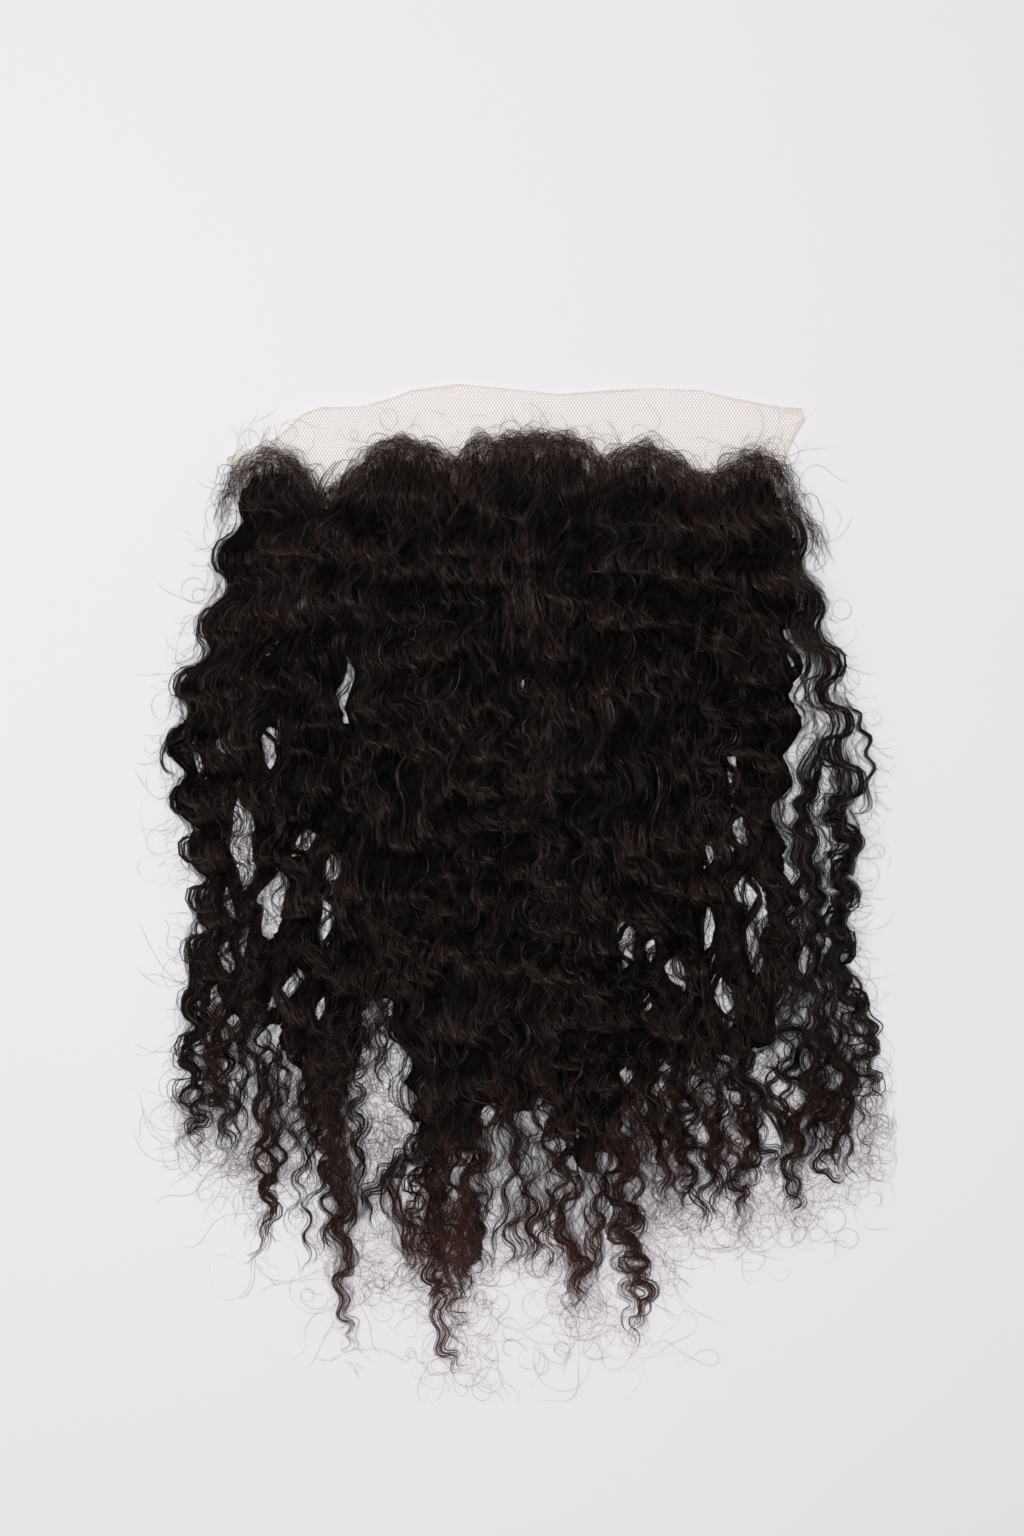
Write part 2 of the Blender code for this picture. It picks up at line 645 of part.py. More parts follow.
def material(name, colour, roughness):
    made = bpy.data.materials.new(name)
    made.use_nodes = True
    shader = made.node_tree.nodes["Principled BSDF"]
    shader.inputs["Base Color"].default_value = (*colour, 1)
    shader.inputs["Roughness"].default_value = roughness
    shader.inputs["Metallic"].default_value = 0.0
    return made


def add_object(name, mesh, look):
    data = bpy.data.meshes.new(name)
    mesh.to_mesh(data)
    mesh.free()
    data.materials.append(look)
    made = bpy.data.objects.new(name, data)
    bpy.context.collection.objects.link(made)
    return made


def lace_mesh():
    """The lace base: a thin sheet with a flat underside, turned ends and pressed creases."""
    outline = [(side(x), lace_y(depth), lift) for x, depth, lift in LACE_OUTLINE]
    points = [Vector(row[:2]) for row in outline]
    count = len(points)
    lines = [(k, (k + 1) % count) for k in range(count)]
    lifts = {k: row[2] for k, row in enumerate(outline)}
    centre = Vector((0, 0))
    for x, y, lift in outline:
        if lift:
            inwards = (centre - Vector((x, y))).normalized() * TURNED_EDGE_WIDTH
            points.append(Vector((x, y)) + inwards)
    for x0, depth0, x1, depth1, lift in LACE_CREASES:
        start, end = Vector((side(x0), lace_y(depth0))), Vector((side(x1), lace_y(depth1)))
        across = (end - start).orthogonal().normalized() * TURNED_EDGE_WIDTH / 2
        middle = (start + end) / 2
        lifts[len(points)] = lift
        points += [middle, middle + across, middle - across, start, end]
    found = delaunay_2d_cdt(points, lines, [], 1, SAME_POINT)
    mesh = bmesh.new()
    top, low = [], []
    for index, point in enumerate(found[0]):
        lift = max((lifts.get(origin, 0) for origin in found[3][index]), default=0)
        height = LACE_THICKNESS + lift * SHARE * TURNED_EDGE_LIFT
        top.append(mesh.verts.new((point.x, point.y, height)))
        low.append(mesh.verts.new((point.x, point.y, 0)) if index < count else None)
    for face in found[2]:
        mesh.faces.new([top[index] for index in face])
    for a, b in rim_of(found[2]):
        mesh.faces.new((top[b], top[a], low[a], low[b]))
    rim = dict(rim_of(found[2]))
    loop = [0]
    while rim[loop[-1]] != 0:
        loop.append(rim[loop[-1]])
    mesh.faces.new([low[index] for index in reversed(loop)])
    return mesh


def build():
    for old in list(bpy.data.objects):
        bpy.data.objects.remove(old, do_unlink=True)
    lace = material("lace_net", (0.80, 0.76, 0.73), 0.8)
    hair = material("natural_black_hair", (0.012, 0.008, 0.007), 0.45)
    add_object("lace_base", lace_mesh(), lace)
    field = HairField()
    plan = plan_without_pinches(field)
    top = plan.triangles(crests(field))
    bottom = plan.triangles()
    for number, name in enumerate(SECTION_NAMES):
        add_object(name, section_mesh(field, plan, top, bottom, number), hair)


build()
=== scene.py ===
"""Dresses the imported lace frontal: a net base, and long wavy black hair tied into it.

Metres, +Z up, the surface it lies on at z = 0. The lace's bare front edge is at +Y, and the
hair runs towards -Y. Widths are given in percent of the lace's width, and places along the
hair in percent of its length behind the hairline.
"""
import math

import bpy
import numpy as np
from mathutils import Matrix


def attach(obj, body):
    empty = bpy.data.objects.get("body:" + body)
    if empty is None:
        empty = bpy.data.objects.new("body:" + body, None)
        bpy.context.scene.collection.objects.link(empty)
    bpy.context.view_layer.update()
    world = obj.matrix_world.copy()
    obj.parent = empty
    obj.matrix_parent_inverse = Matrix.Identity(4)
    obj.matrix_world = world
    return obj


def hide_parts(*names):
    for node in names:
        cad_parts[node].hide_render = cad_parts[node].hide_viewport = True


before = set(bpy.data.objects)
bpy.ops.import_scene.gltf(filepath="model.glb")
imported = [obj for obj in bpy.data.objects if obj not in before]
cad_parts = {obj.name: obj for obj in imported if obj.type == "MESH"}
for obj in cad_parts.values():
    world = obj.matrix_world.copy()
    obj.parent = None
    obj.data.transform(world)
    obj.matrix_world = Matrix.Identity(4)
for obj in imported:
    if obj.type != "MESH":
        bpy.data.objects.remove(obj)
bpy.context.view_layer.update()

# Sizes of the real piece, the same as in the CAD part
LACE_WIDTH = 0.330
LACE_DEPTH = 0.102
HAIR_LENGTH = 0.540
HAIRLINE_SETBACK = 0.023
HAIR_LOFT = 0.019
ROOT_LOFT = 0.006
WAVE_AT_ROOTS = 0.041
WAVE_AT_TIPS = 0.0185
RIPPLE_HEIGHT = 0.0014
LOCK_FULLNESS = 0.72
RIM_RADIUS = 0.011
TIP_WIDTH = 0.0034
SHARE = 0.01

# How the hair is drawn. A hair is 0.08 mm thick; a broad strand stands for a dozen or more
STRANDS_A_METRE = 2800
VEIL_HAIRS_A_METRE = 16000
STRAND_WIDTH = 0.00110
FINE_WIDTH = 0.00020
CLUMP_WIDTH = 0.0072
BAND_SPACING = 0.0016
STATIONS_A_WAVE = 9
BAND_STATIONS_A_WAVE = 7
VEIL_STATIONS = 15
WISP_STATIONS = 8
LOOSE_STEP = 0.0017
FIELD_STEP = 0.0025
STRANDS_A_TRESS = 4
WINDOW_HAIRS_A_SQUARE_METRE = 150000
EDGE_HAIRS = 4600
HAIRLINE_HAIRS = 3500
LONG_HAIRLINE_HAIRS = 170
TIP_HAIRS = 14

# Shares of a lock's strands that lie loose on top, and that cross the openings
HIGH_SHARE = 0.14
STRAY_SHARE = 0.13

# Loose hairs: how wide and how high over the floor, from and to
LOOSE_WIDTHS = (0.00008, 0.00014)
LOOSE_HEIGHTS = (0.001, 0.006)

# How much of the length a tip's fine hairs go along, and where the ends are brown in full
TIP_REACH = 18
BROWN_REACH = 96
BROWN_ENDS = "#663b34"

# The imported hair: how far behind the hairline it starts, its share of the hair's height, and
# the fewest cells that a pad of it has
UNDER_SETBACK = 0.0145
UNDER_LOFT = 0.36
SMALLEST_PAD = 60

# The room that loose hairs stay in: x to both sides, back, and metres in front of the lace
ROOM_SIDE = 66.5
ROOM_BACK = 103.5
ROOM_FRONT = 0.012

# Heights: hair that rests on the lace, the least gap below it, the net itself, any strand's
# edge, a strand's seat, and hair that is deep enough for its waves to rise and fall in full
LACE_TOP = 0.0013
FLOOR_GAP = 0.0003
LACE_REST = 0.0006
LEAST_HEIGHT = 0.00025
STRAND_SEAT = 0.0006
LOFTY = 0.006

# The lace's cut edge: x, and percent of the lace's depth behind its front
LACE_FRONT = [
    (-50.3, 38), (-46, 33), (-41.6, 27), (-37.3, 14), (-34.1, 9.5), (-26.8, 9.5), (-21.6, 4.5),
    (-18, 0), (-10, -3.5), (1, 0), (7.5, 2.3), (16.4, 0), (23, -1), (31.9, 0), (38, 4.5),
    (45.8, 9.5), (49.8, 10),
]
LACE_LEFT = [(-50.3, 38), (-48.6, 47), (-47, 60), (-46.5, 100)]
LACE_RIGHT = [(49.8, 10), (50.5, 17), (49, 24), (47, 39), (46, 52), (46, 100)]

# Hairline from left to right: x, back
HAIRLINE = [
    (-48.8, 7.5), (-48, 5), (-45.5, 3.6), (-43, 2.9), (-40.5, 2.7), (-38, 3.9), (-36, 5.8),
    (-34.5, 7.2), (-32, 6.6), (-29, 5), (-26, 3.4), (-23, 2), (-19.5, 1.3), (-16, 1.9),
    (-13, 2.9), (-10.5, 3.8), (-9, 2.6), (-6.5, 1.2), (-3, 1.6), (0, 1), (4, 0.9), (8, 1.1),
    (11, 1.5), (13.5, 3), (14.5, 4.6), (16, 3.6), (19, 2.5), (22.5, 1.9), (26, 2.6),
    (28.5, 3.8), (30.5, 5.2), (33, 5), (36, 4.4), (39.5, 3.3), (43, 3.2), (45.5, 4.5),
    (46.5, 6), (48, 8), (49.8, 9.5),
]

# Locks: from, to, six middles, four widths, swing, phase, as in the CAD part
LOCKS = [
    (3, 78.5, -44.8, -50.2, -57, -52.6, -55.8, -57, 6, 6, 3.4, 0.8, 1.1, 0.9),
    (2.6, 75, -41.5, -45.5, -52.6, -51.4, -52, -52.8, 6, 5.5, 4.2, 1.2, 0.9, 0.9),
    (3.6, 77.5, -38.8, -43.6, -48.5, -49, -50.4, -50.6, 5, 5.5, 4.8, 2.6, 0.9, 0.2),
    (5.8, 73, -34.8, -40, -44.3, -44.6, -45.4, -43.5, 5, 5, 6.2, 3.8, 0.9, 0.1),
    (66, 88.5, -43, -43, -43, -43.2, -43, -45.8, 4, 7.6, 1.8, 0.8, 0.5, 0.6),
    (52, 78, -39.5, -39.6, -39.4, -38.8, -37.8, -36.5, 3, 4.8, 4.2, 1.4, 0.7, 0.2),
    (5.4, 98.5, -31, -37, -39, -37, -31.2, -28.8, 6, 5.8, 4.8, 0.9, 0.9, 0.3),
    (3.6, 82, -27, -31.5, -34.5, -34.6, -32.5, -30.5, 7, 7, 5.8, 3, 0.8, 0.3),
    (1.9, 88, -22.5, -25.5, -27.8, -28.8, -29.4, -27.4, 7, 7.2, 6, 2.6, 0.8, 0.35),
    (1.2, 67.5, -18, -19.8, -21.8, -23.2, -24, -24.4, 7, 7.5, 7, 3.4, 0.8, 0.4),
    (2.4, 93, -13.4, -15, -17.5, -18.6, -16, -16.8, 6.5, 7.2, 6.6, 1, 0.9, 0.45),
    (75, 83, -13.5, -17, -20.5, -23.5, -26.5, -28.5, 2.5, 4, 4, 2.6, 0, 0),
    (77, 91, -22, -21.5, -20.6, -19.2, -17.8, -17, 4, 4.6, 4, 1, 0.4, 0.5),
    (1.4, 99.5, -7.6, -10, -12, -13.2, -13.6, -9, 6.5, 7.2, 6.2, 0.8, 0.9, 0.5),
    (48, 90, -9.6, -10, -10.4, -10.8, -10.6, -10.2, 3, 5, 4.8, 1.4, 0.8, 0.5),
    (1.2, 94, -2.4, -4, -5.6, -7, -7.2, -9, 6.5, 7.4, 6.8, 1, 0.9, 0.5),
    (48, 84.5, -3.2, -3.4, -3.6, -3.6, -3.6, -3, 3, 5, 5, 1.6, 0.8, 0.5),
    (0.8, 87, 3.6, 3, 2, 0.8, 0, 1.2, 7, 7.4, 6.8, 2.4, 0.9, 0.55),
    (30, 84, 6.2, 5.6, 4.8, 4.4, 4.2, 4.4, 3, 5.4, 5, 2, 0.8, 0.55),
    (1, 95, 10, 9.2, 7.6, 7.6, 8.8, 10.4, 7, 7.4, 6.8, 1, 1, 0.6),
    (45, 92.5, 9.5, 10.4, 11.2, 12.4, 13.2, 13.4, 3, 5.8, 5.8, 1.8, 0.8, 0.6),
    (2.8, 97, 17, 16, 14.4, 15, 18, 21.5, 6.5, 7.4, 6.2, 0.8, 1, 0.62),
    (1.9, 84, 22.4, 22.4, 21.4, 21.4, 20.8, 22.4, 7, 7.4, 6.2, 2.2, 1, 0.64),
    (54, 83, 25, 24.6, 24, 23.6, 25.4, 26.6, 4, 5.5, 5.2, 2.2, 0.7, 0.64),
    (3.2, 83.5, 27.2, 28.4, 28, 27, 28.2, 28.6, 6.4, 7.4, 6.6, 2.2, 1, 0.66),
    (4.8, 80, 33.2, 35, 34.8, 32.8, 33.4, 32.6, 6, 7.4, 7.2, 3.6, 1, 0.68),
    (3.4, 87, 38.6, 40.8, 40.8, 37.8, 39.8, 39.2, 6.5, 7.4, 5.6, 0.8, 1, 0.7),
    (54, 69, 43.8, 43.8, 43.4, 43, 42.4, 41.6, 3, 5.6, 5.2, 2.5, 0.5, 0.7),
    (3.2, 67, 42.8, 44.8, 46, 43.8, 46.8, 47.4, 6, 7.2, 5.6, 4.8, 0.9, 0.72),
    (4.8, 36, 44.8, 47.4, 49.8, 51.8, 53.4, 54.6, 4.6, 4.8, 4.6, 2.8, 0.8, 0.74),
    (31, 73.5, 54.2, 50.2, 51.6, 51.8, 53, 55.2, 2.4, 2, 3, 1.6, 0.5, 0.74),
    (12, 77, 47.6, 53.8, 56.6, 55.8, 59.4, 62.4, 4, 5.4, 2.8, 0.9, 1.1, 0.74),
    (28.5, 42, 57.5, 60, 61.5, 61.6, 60, 57.8, 1, 1.3, 1.3, 1, 0, 0),
    (51, 75, 54.8, 55, 55.6, 57.2, 58.2, 57.8, 1.2, 2, 2.2, 1.2, 0.5, 0.74),
    (60, 84, 51, 52, 51.8, 50.2, 48, 47.8, 4, 4.6, 3.6, 0.8, 0.6, 0.3),
    (70, 78.5, 44, 45.6, 47, 47.8, 48.4, 49, 2.2, 4.6, 4.6, 2.2, 0, 0),
    (63, 80.5, 53, 57, 57.8, 56.6, 54, 58, 1.4, 1.7, 1.5, 0.9, 0, 0),
]

# Openings between the locks: x, back, wide, tall, tilt in degrees
WINDOWS = [
    (-29.5, 27.5, 1.8, 3.9, 0), (-44.2, 24, 0.6, 6, 38), (-36.6, 43.6, 5, 2.2, -30),
    (-31.7, 46.6, 3, 2.8, 0), (-42.2, 50.2, 3.8, 6.6, 20), (-47.6, 44, 4.4, 9.6, -5),
    (-32.9, 52.3, 2.7, 4.8, 12), (-50.3, 55.8, 2.8, 3.8, 0), (-47.2, 54.4, 1.7, 3, 0),
    (-52, 61, 2.6, 4.4, -10), (-49.2, 63.4, 2.8, 3.2, 15), (-33.8, 61.5, 1.8, 3, 15),
    (-38.6, 58.8, 2.6, 4.6, 48), (-43.2, 66.5, 3, 1.7, 0), (-38.4, 69.8, 2.8, 4.2, 15),
    (-43.3, 77.9, 3.4, 2.2, 0), (-23.2, 70.4, 8.8, 9.4, 10), (-24.2, 75.6, 7, 7, -10),
    (-16, 82.2, 2.8, 3.4, 0), (-10.8, 82.4, 3.8, 3.4, 0), (-10.6, 86.8, 3.2, 5.4, 10),
    (-4.9, 72.8, 2.8, 2.4, 0), (5, 73, 2, 2.8, 0), (19.6, 54.5, 3.2, 3.8, 0),
    (23.6, 55.6, 1.8, 2.6, 10), (23, 60.8, 1.6, 2.4, -40), (27.8, 57.5, 3.4, 3.2, 0),
    (33.8, 52.9, 2.3, 5, 0), (33.9, 45.1, 1.5, 2.6, 0), (37.5, 36.8, 1.4, 2.2, 0),
    (39.1, 42.5, 3.2, 3.5, 0), (39.6, 48.7, 3.6, 5, -50), (43.4, 51.8, 2.2, 1.7, -20),
    (41.2, 54.6, 2.2, 3.8, -15), (36.6, 60.4, 3.6, 4.6, -15), (50.2, 55.8, 1.6, 3.4, 15),
    (50.8, 34, 2.6, 3.4, 35), (46.7, 40.8, 3, 4.8, 20), (48.5, 25.4, 1.2, 6, -25),
    (43, 68, 4, 3.6, 0), (47.2, 70.8, 5, 2.6, -15), (54.8, 68.2, 2.2, 2, 0),
    (25.2, 70.2, 3.6, 2, 0), (29.8, 72.5, 3.2, 3.2, 0), (27, 76.2, 2.6, 3.8, -10),
    (-42.8, 34.2, 2.4, 3.6, 10), (-55, 35.4, 2, 2.8, 0), (1.4, 27.2, 1, 1.6, 20),
    (53.9, 39.6, 2.8, 7.4, -4), (54.2, 48.6, 2.2, 6.4, 6), (-49.8, 50.4, 2, 4.6, -8),
    (33, 76, 3, 4.6, 0), (37.2, 73, 3.2, 2.8, 0), (38.4, 76.8, 3.4, 2.8, 20),
]

# Partings between the five sections: x and back at each place along the hair
PARTINGS = [
    [(-34.8, -8), (-35, 5), (-42, 20), (-46.2, 27), (-46.8, 46), (-48.2, 58), (-47.4, 72),
     (-47, 108)],
    [(-10.6, -8), (-10.6, 4), (-12.6, 21), (-14.8, 40), (-16.2, 58), (-15.2, 76), (-15, 108)],
    [(14.2, -8), (14.2, 5), (12.6, 22), (11, 40), (12.8, 56), (15.2, 70), (15.4, 108)],
    [(30.6, -8), (30.6, 6), (31.8, 20), (31.4, 36), (29.7, 50), (30.8, 66), (30.6, 108)],
]
SECTIONS = ["hair_left_temple", "hair_left", "hair_centre", "hair_right",
            "hair_right_temple"]

# Single curls that stand out: strands, thickness at the start and at the end in
# percent of the lace's width, then the places they pass, x and back
CURLS = [
    (32, 3.6, 2, [(44, 37), (46, 41), (48.5, 44), (49.6, 47), (49, 50), (47.6, 53), (47.8, 56),
     (49.2, 59), (50.2, 62), (49.6, 66)]),
    (32, 4.4, 3, [(-12.5, 74.5), (-16, 76.2), (-19, 77.4), (-22, 79), (-25, 80.6), (-27.5, 83),
     (-29, 86)]),
    (15, 0.9, 0.5, [(57.5, 28.5), (60, 31), (61.5, 34), (61.8, 37), (60.5, 40), (58, 42)]),
    (20, 1.5, 0.8, [(53, 63), (57, 68.3), (57.8, 72), (56.6, 75), (54, 77.5), (57, 80)]),
    (30, 2, 0.5, [(-55.4, 52.5), (-56.6, 55), (-55.4, 57.5), (-57.4, 60.4), (-55.6, 63),
     (-56.4, 65), (-57.3, 66.7), (-56, 68.5), (-54.5, 70), (-55.8, 71.7), (-54, 73), (-56, 74.2),
     (-55, 75.5), (-55.3, 77), (-58, 78.3)]),
    (25, 2, 0.5, [(-46, 64.6), (-48, 65.2), (-51.5, 65.5), (-53, 67), (-52, 68.7), (-50.3, 70),
     (-53, 71.3), (-50, 72.5), (-51.3, 74.7), (-50.5, 76.5), (-54, 77.5)]),
    (12, 1.2, 0.5, [(-41.5, 70.5), (-41, 74), (-40.6, 77), (-42, 79.6), (-44, 80), (-42, 82.5),
     (-44.5, 85), (-46, 88.5)]),
    (28, 2.6, 1.7, [(-33, 76), (-31, 79), (-29.5, 82), (-31, 85), (-28.5, 88), (-30.5, 90),
     (-30, 93.5), (-28, 96), (-29, 98.5)]),
    (22, 2.6, 1.5, [(-14, 80), (-13.8, 85), (-14.5, 90), (-13, 92), (-12.5, 97), (-10, 99),
     (-8, 100.2)]),
    (22, 2.2, 1.3, [(-7, 80), (-6, 84), (-6.8, 87), (-9.5, 90), (-6, 92)]),
    (26, 2.8, 1.6, [(9, 80), (7.3, 84), (9.5, 87), (12, 88.5), (10.5, 91), (10.8, 93),
     (10, 94.5)]),
    (24, 2.4, 1.5, [(18, 80), (18.2, 83), (19.8, 86), (22, 88), (21.8, 90), (23.5, 92),
     (22, 93.8), (21, 95.5), (22, 97)]),
    (32, 2.6, 0.9, [(38.5, 62.5), (41.7, 64.1), (46.5, 63.6), (50.2, 64.8), (48.3, 67),
     (47.6, 68.6), (50.4, 69.9), (54.4, 70.9), (56.4, 72.8), (54.6, 74.8), (51, 76)]),
    (30, 2.4, 0.8, [(51.5, 62.5), (54, 66), (58, 68.6), (56.2, 71.4), (52.4, 73.6), (48.4, 74.4),
     (47.2, 76.2), (49.4, 77.6)]),
    (30, 2.4, 0.8, [(33, 66), (36.6, 67.6), (41, 69.2), (42.6, 71.6), (40.4, 73.6), (41.6, 75.8),
     (45, 77), (44.6, 79.4), (46.4, 80.8)]),
    (25, 2.2, 0.8, [(24, 68.6), (28, 69.4), (30.6, 71.4), (28.4, 73.6), (29.4, 76), (33, 77.2),
     (34.4, 79.2), (32.8, 81)]),
    (13, 1.4, 0.4, [(41, 75), (42, 77), (39.5, 78.5), (37.3, 79.7), (39.8, 81.3), (38.5, 83.5),
     (39.3, 85.5)]),
    (13, 1.4, 0.4, [(49, 78.3), (46.8, 79.7), (49, 81.5), (49, 83), (47.3, 84)]),
    (14, 1.2, 0.4, [(54, 76), (52.5, 78.5), (55, 79.5), (58.3, 79.2), (59.3, 80.8)]),
    (75, 3, 1, [(56.5, 31), (56, 34), (57, 36.5), (56.5, 39), (54.8, 40.5), (56, 42),
     (58.5, 43.8), (58.5, 45.3), (56.5, 47), (57.5, 49), (56.3, 51), (57, 53), (56, 55.5),
     (57, 58), (58, 60.3), (60.5, 61.6), (61.5, 63.5), (61.8, 65.2), (60.8, 67), (62.8, 68.5),
     (62.5, 70), (63, 72), (62, 74.5)]),
    (66, 2.6, 1.2, [(54.5, 32.5), (52.5, 34), (51, 36), (50.8, 38), (49.9, 40), (49.6, 42),
     (51, 44.5), (51.2, 47), (52.3, 49), (52.5, 51), (51.8, 53), (52.2, 55), (51.5, 57),
     (51.8, 59), (52.5, 61), (52.6, 63), (53, 65), (53.5, 66.4), (56.5, 68), (56, 70.5),
     (56, 73)]),
]

# Where thin separate curls lie: left, right, first and last root, lowest tip, curls
TRESSES = [
    (-57, -46, 46, 70, 78, 10), (-46, -37, 48, 72, 82, 9), (-37, -26, 60, 82, 90, 13),
    (-27, -17, 54, 62, 71, 9), (-16, -2, 64, 84, 93, 13), (-2, 14, 64, 82, 90, 14),
    (14, 25, 64, 84, 93, 9), (25, 36, 56, 76, 85, 13), (36, 47, 50, 74, 83, 15),
    (47, 60, 46, 70, 80, 14),
]

# Clouds of fine crinkled ends that the floor shows through: x, back, wide, tall, hairs
NETS = [
    (-43, 76, 14, 10, 135), (-26, 85, 14, 14, 105), (1, 84, 9, 9, 90), (27, 83, 14, 8, 120),
    (60, 75.5, 7, 8, 75), (29, 73, 10, 7, 60), (43, 80, 18, 7, 90), (-22.6, 72, 9, 13, 69),
    (-11, 88, 14, 12, 90), (14, 90, 14, 10, 75), (-50, 58, 7, 14, 60), (24, 57, 12, 8, 36),
    (39, 48, 8, 14, 36), (-41, 52, 16, 14, 60), (-7, 97, 22, 8, 30), (20, 96, 16, 8, 21),
]


def side(share):
    """A share of the lace's width in metres, from the middle to the right."""
    return share * SHARE * LACE_WIDTH


def back(share):
    """The y of a place so many percent of the hair's length behind the hairline."""
    return LACE_DEPTH / 2 - HAIRLINE_SETBACK - share * SHARE * HAIR_LENGTH


def lace_y(share):
    """The y of a place so many percent of the lace's depth behind its front."""
    return LACE_DEPTH / 2 - share * SHARE * LACE_DEPTH


def linear(code):
    """An sRGB hex colour as linear red, green, blue and alpha."""
    parts = [int(code[k:k + 2], 16) / 255 for k in (1, 3, 5)]
    return (*(p / 12.92 if p <= 0.04045 else ((p + 0.055) / 1.055) ** 2.4 for p in parts), 1)


def join(node, links):
    """Set a node's sockets, each given as (socket, value) or (socket, node, its output)."""
    for socket, source, *output in links:
        if isinstance(source, bpy.types.Node):
            source = source.outputs[output[0] if output else 0]
            node.id_data.links.new(source, node.inputs[socket])
        else:
            node.inputs[socket].default_value = source


def add(tree, kind, links=(), **settings):
    """A new node with its settings and links. The kind is its type after ShaderNode."""
    node = tree.nodes.new("ShaderNode" + kind)
    for key, value in settings.items():
        setattr(node, key, value)
    join(node, links)
    return node


def new_material(name):
    """A material, its nodes and their shader."""
    made = bpy.data.materials.new(name)
    made.use_nodes = True
    return made, made.node_tree, made.node_tree.nodes["Principled BSDF"]


def smooth_step(value):
    """Rises smoothly from 0 to 1 as the value does."""
    value = np.clip(value, 0.0, 1.0)
    return value * value * (3 - 2 * value)


def from_four(grid, i, j, u, v):
    """Values at the shares u and v of the way from the cells i, j to the next ones."""
    low = grid[i, j] * (1 - u) + grid[i + 1, j] * u
    high = grid[i, j + 1] * (1 - u) + grid[i + 1, j + 1] * u
    return low * (1 - v) + high * v


def wave_turns(y):
    """How many waves a hair has made from the hairline to y; they shorten to the tips."""
    run = np.maximum(back(0) - y, 0.0) / HAIR_LENGTH
    shortening = WAVE_AT_TIPS / WAVE_AT_ROOTS - 1
    return HAIR_LENGTH / WAVE_AT_ROOTS * np.log1p(shortening * run) / shortening


def y_at_turns(turns):
    """The y where a hair has made so many waves."""
    shortening = WAVE_AT_TIPS / WAVE_AT_ROOTS - 1
    run = np.expm1(turns * WAVE_AT_ROOTS / HAIR_LENGTH * shortening) / shortening
    return back(0) - run * HAIR_LENGTH


def through(knots, along):
    """A smooth curve through evenly spaced knots, read at the shares along."""
    knots = np.array(knots, float)
    ends = np.concatenate([[2 * knots[0] - knots[1]], knots, [2 * knots[-1] - knots[-2]]])
    place = np.clip(along, 0, 1) * (len(knots) - 1)
    first = np.minimum(place.astype(int), len(knots) - 2)
    part = (place - first)[(...,) + (None,) * (knots.ndim - 1)]
    before, start, end, after = (ends[first + step] for step in range(4))
    return (start + 0.5 * part * (end - before + part * (2 * before - 5 * start + 4 * end - after
            + part * (3 * (start - end) + after - before))))


def unit(steps):
    """Each step at the length one."""
    return steps / np.maximum(np.linalg.norm(steps, axis=1, keepdims=True), 1e-9)


def beside(line):
    """Unit steps square to a flat line, to its right."""
    ahead = unit(np.gradient(line, axis=0))
    return np.column_stack([ahead[:, 1], -ahead[:, 0]])


def lock_shape(lock, y):
    """Middle without its swing, and half width, of a lock at the places y."""
    top = back(lock[0]) - side(lock[8]) / 2
    along = np.clip((top - y) / (top - back(lock[1])), 0, 1)
    radius = np.maximum(side(np.interp(along, np.linspace(0, 1, 4), lock[8:12])), TIP_WIDTH) / 2
    return side(through(lock[2:8], along)), radius, top


def lock_width(lock):
    """A lock's width, averaged over the part where most of its hair lies."""
    return side(0.2 * lock[8] + 0.45 * lock[9] + 0.35 * lock[10])


def lock_phase(lock, y):
    """Where a lock's wave stands: inner locks fall out of step, the outer ones keep theirs."""
    inner = smooth_step((46 - abs(lock[4])) / 6)
    x = side(through(lock[2:8], (back(0) - y) / HAIR_LENGTH))
    drift = 0.40 * np.sin(x * 34 + y * 19 + 1) + 0.30 * np.sin(y * 31 - x * 52 + 2.4)
    return lock[13] + inner * (drift + 0.20 * np.sin(x * 88 - y * 44))


def lock_swing(lock, y, top):
    """How far a lock swings to each side; the outer ones swing wider, and sooner."""
    outer = smooth_step((abs(lock[4]) - 40) / 6)
    start = smooth_step((top - y) / (WAVE_AT_ROOTS * (1 - 0.5 * outer)))
    return side(lock[12]) * (1 + 0.5 * outer) * start


def window_size(window):
    """How wide and how tall an opening is."""
    return side(window[2]), window[3] * SHARE * HAIR_LENGTH


def in_window(window, x, y):
    """How far each place lies across and along an opening from its middle, and its tilt."""
    tilt = math.radians(window[4])
    dx, dy = x - side(window[0]), y - back(window[1])
    across = dx * math.cos(tilt) - dy * math.sin(tilt)
    return across, dx * math.sin(tilt) + dy * math.cos(tilt), tilt


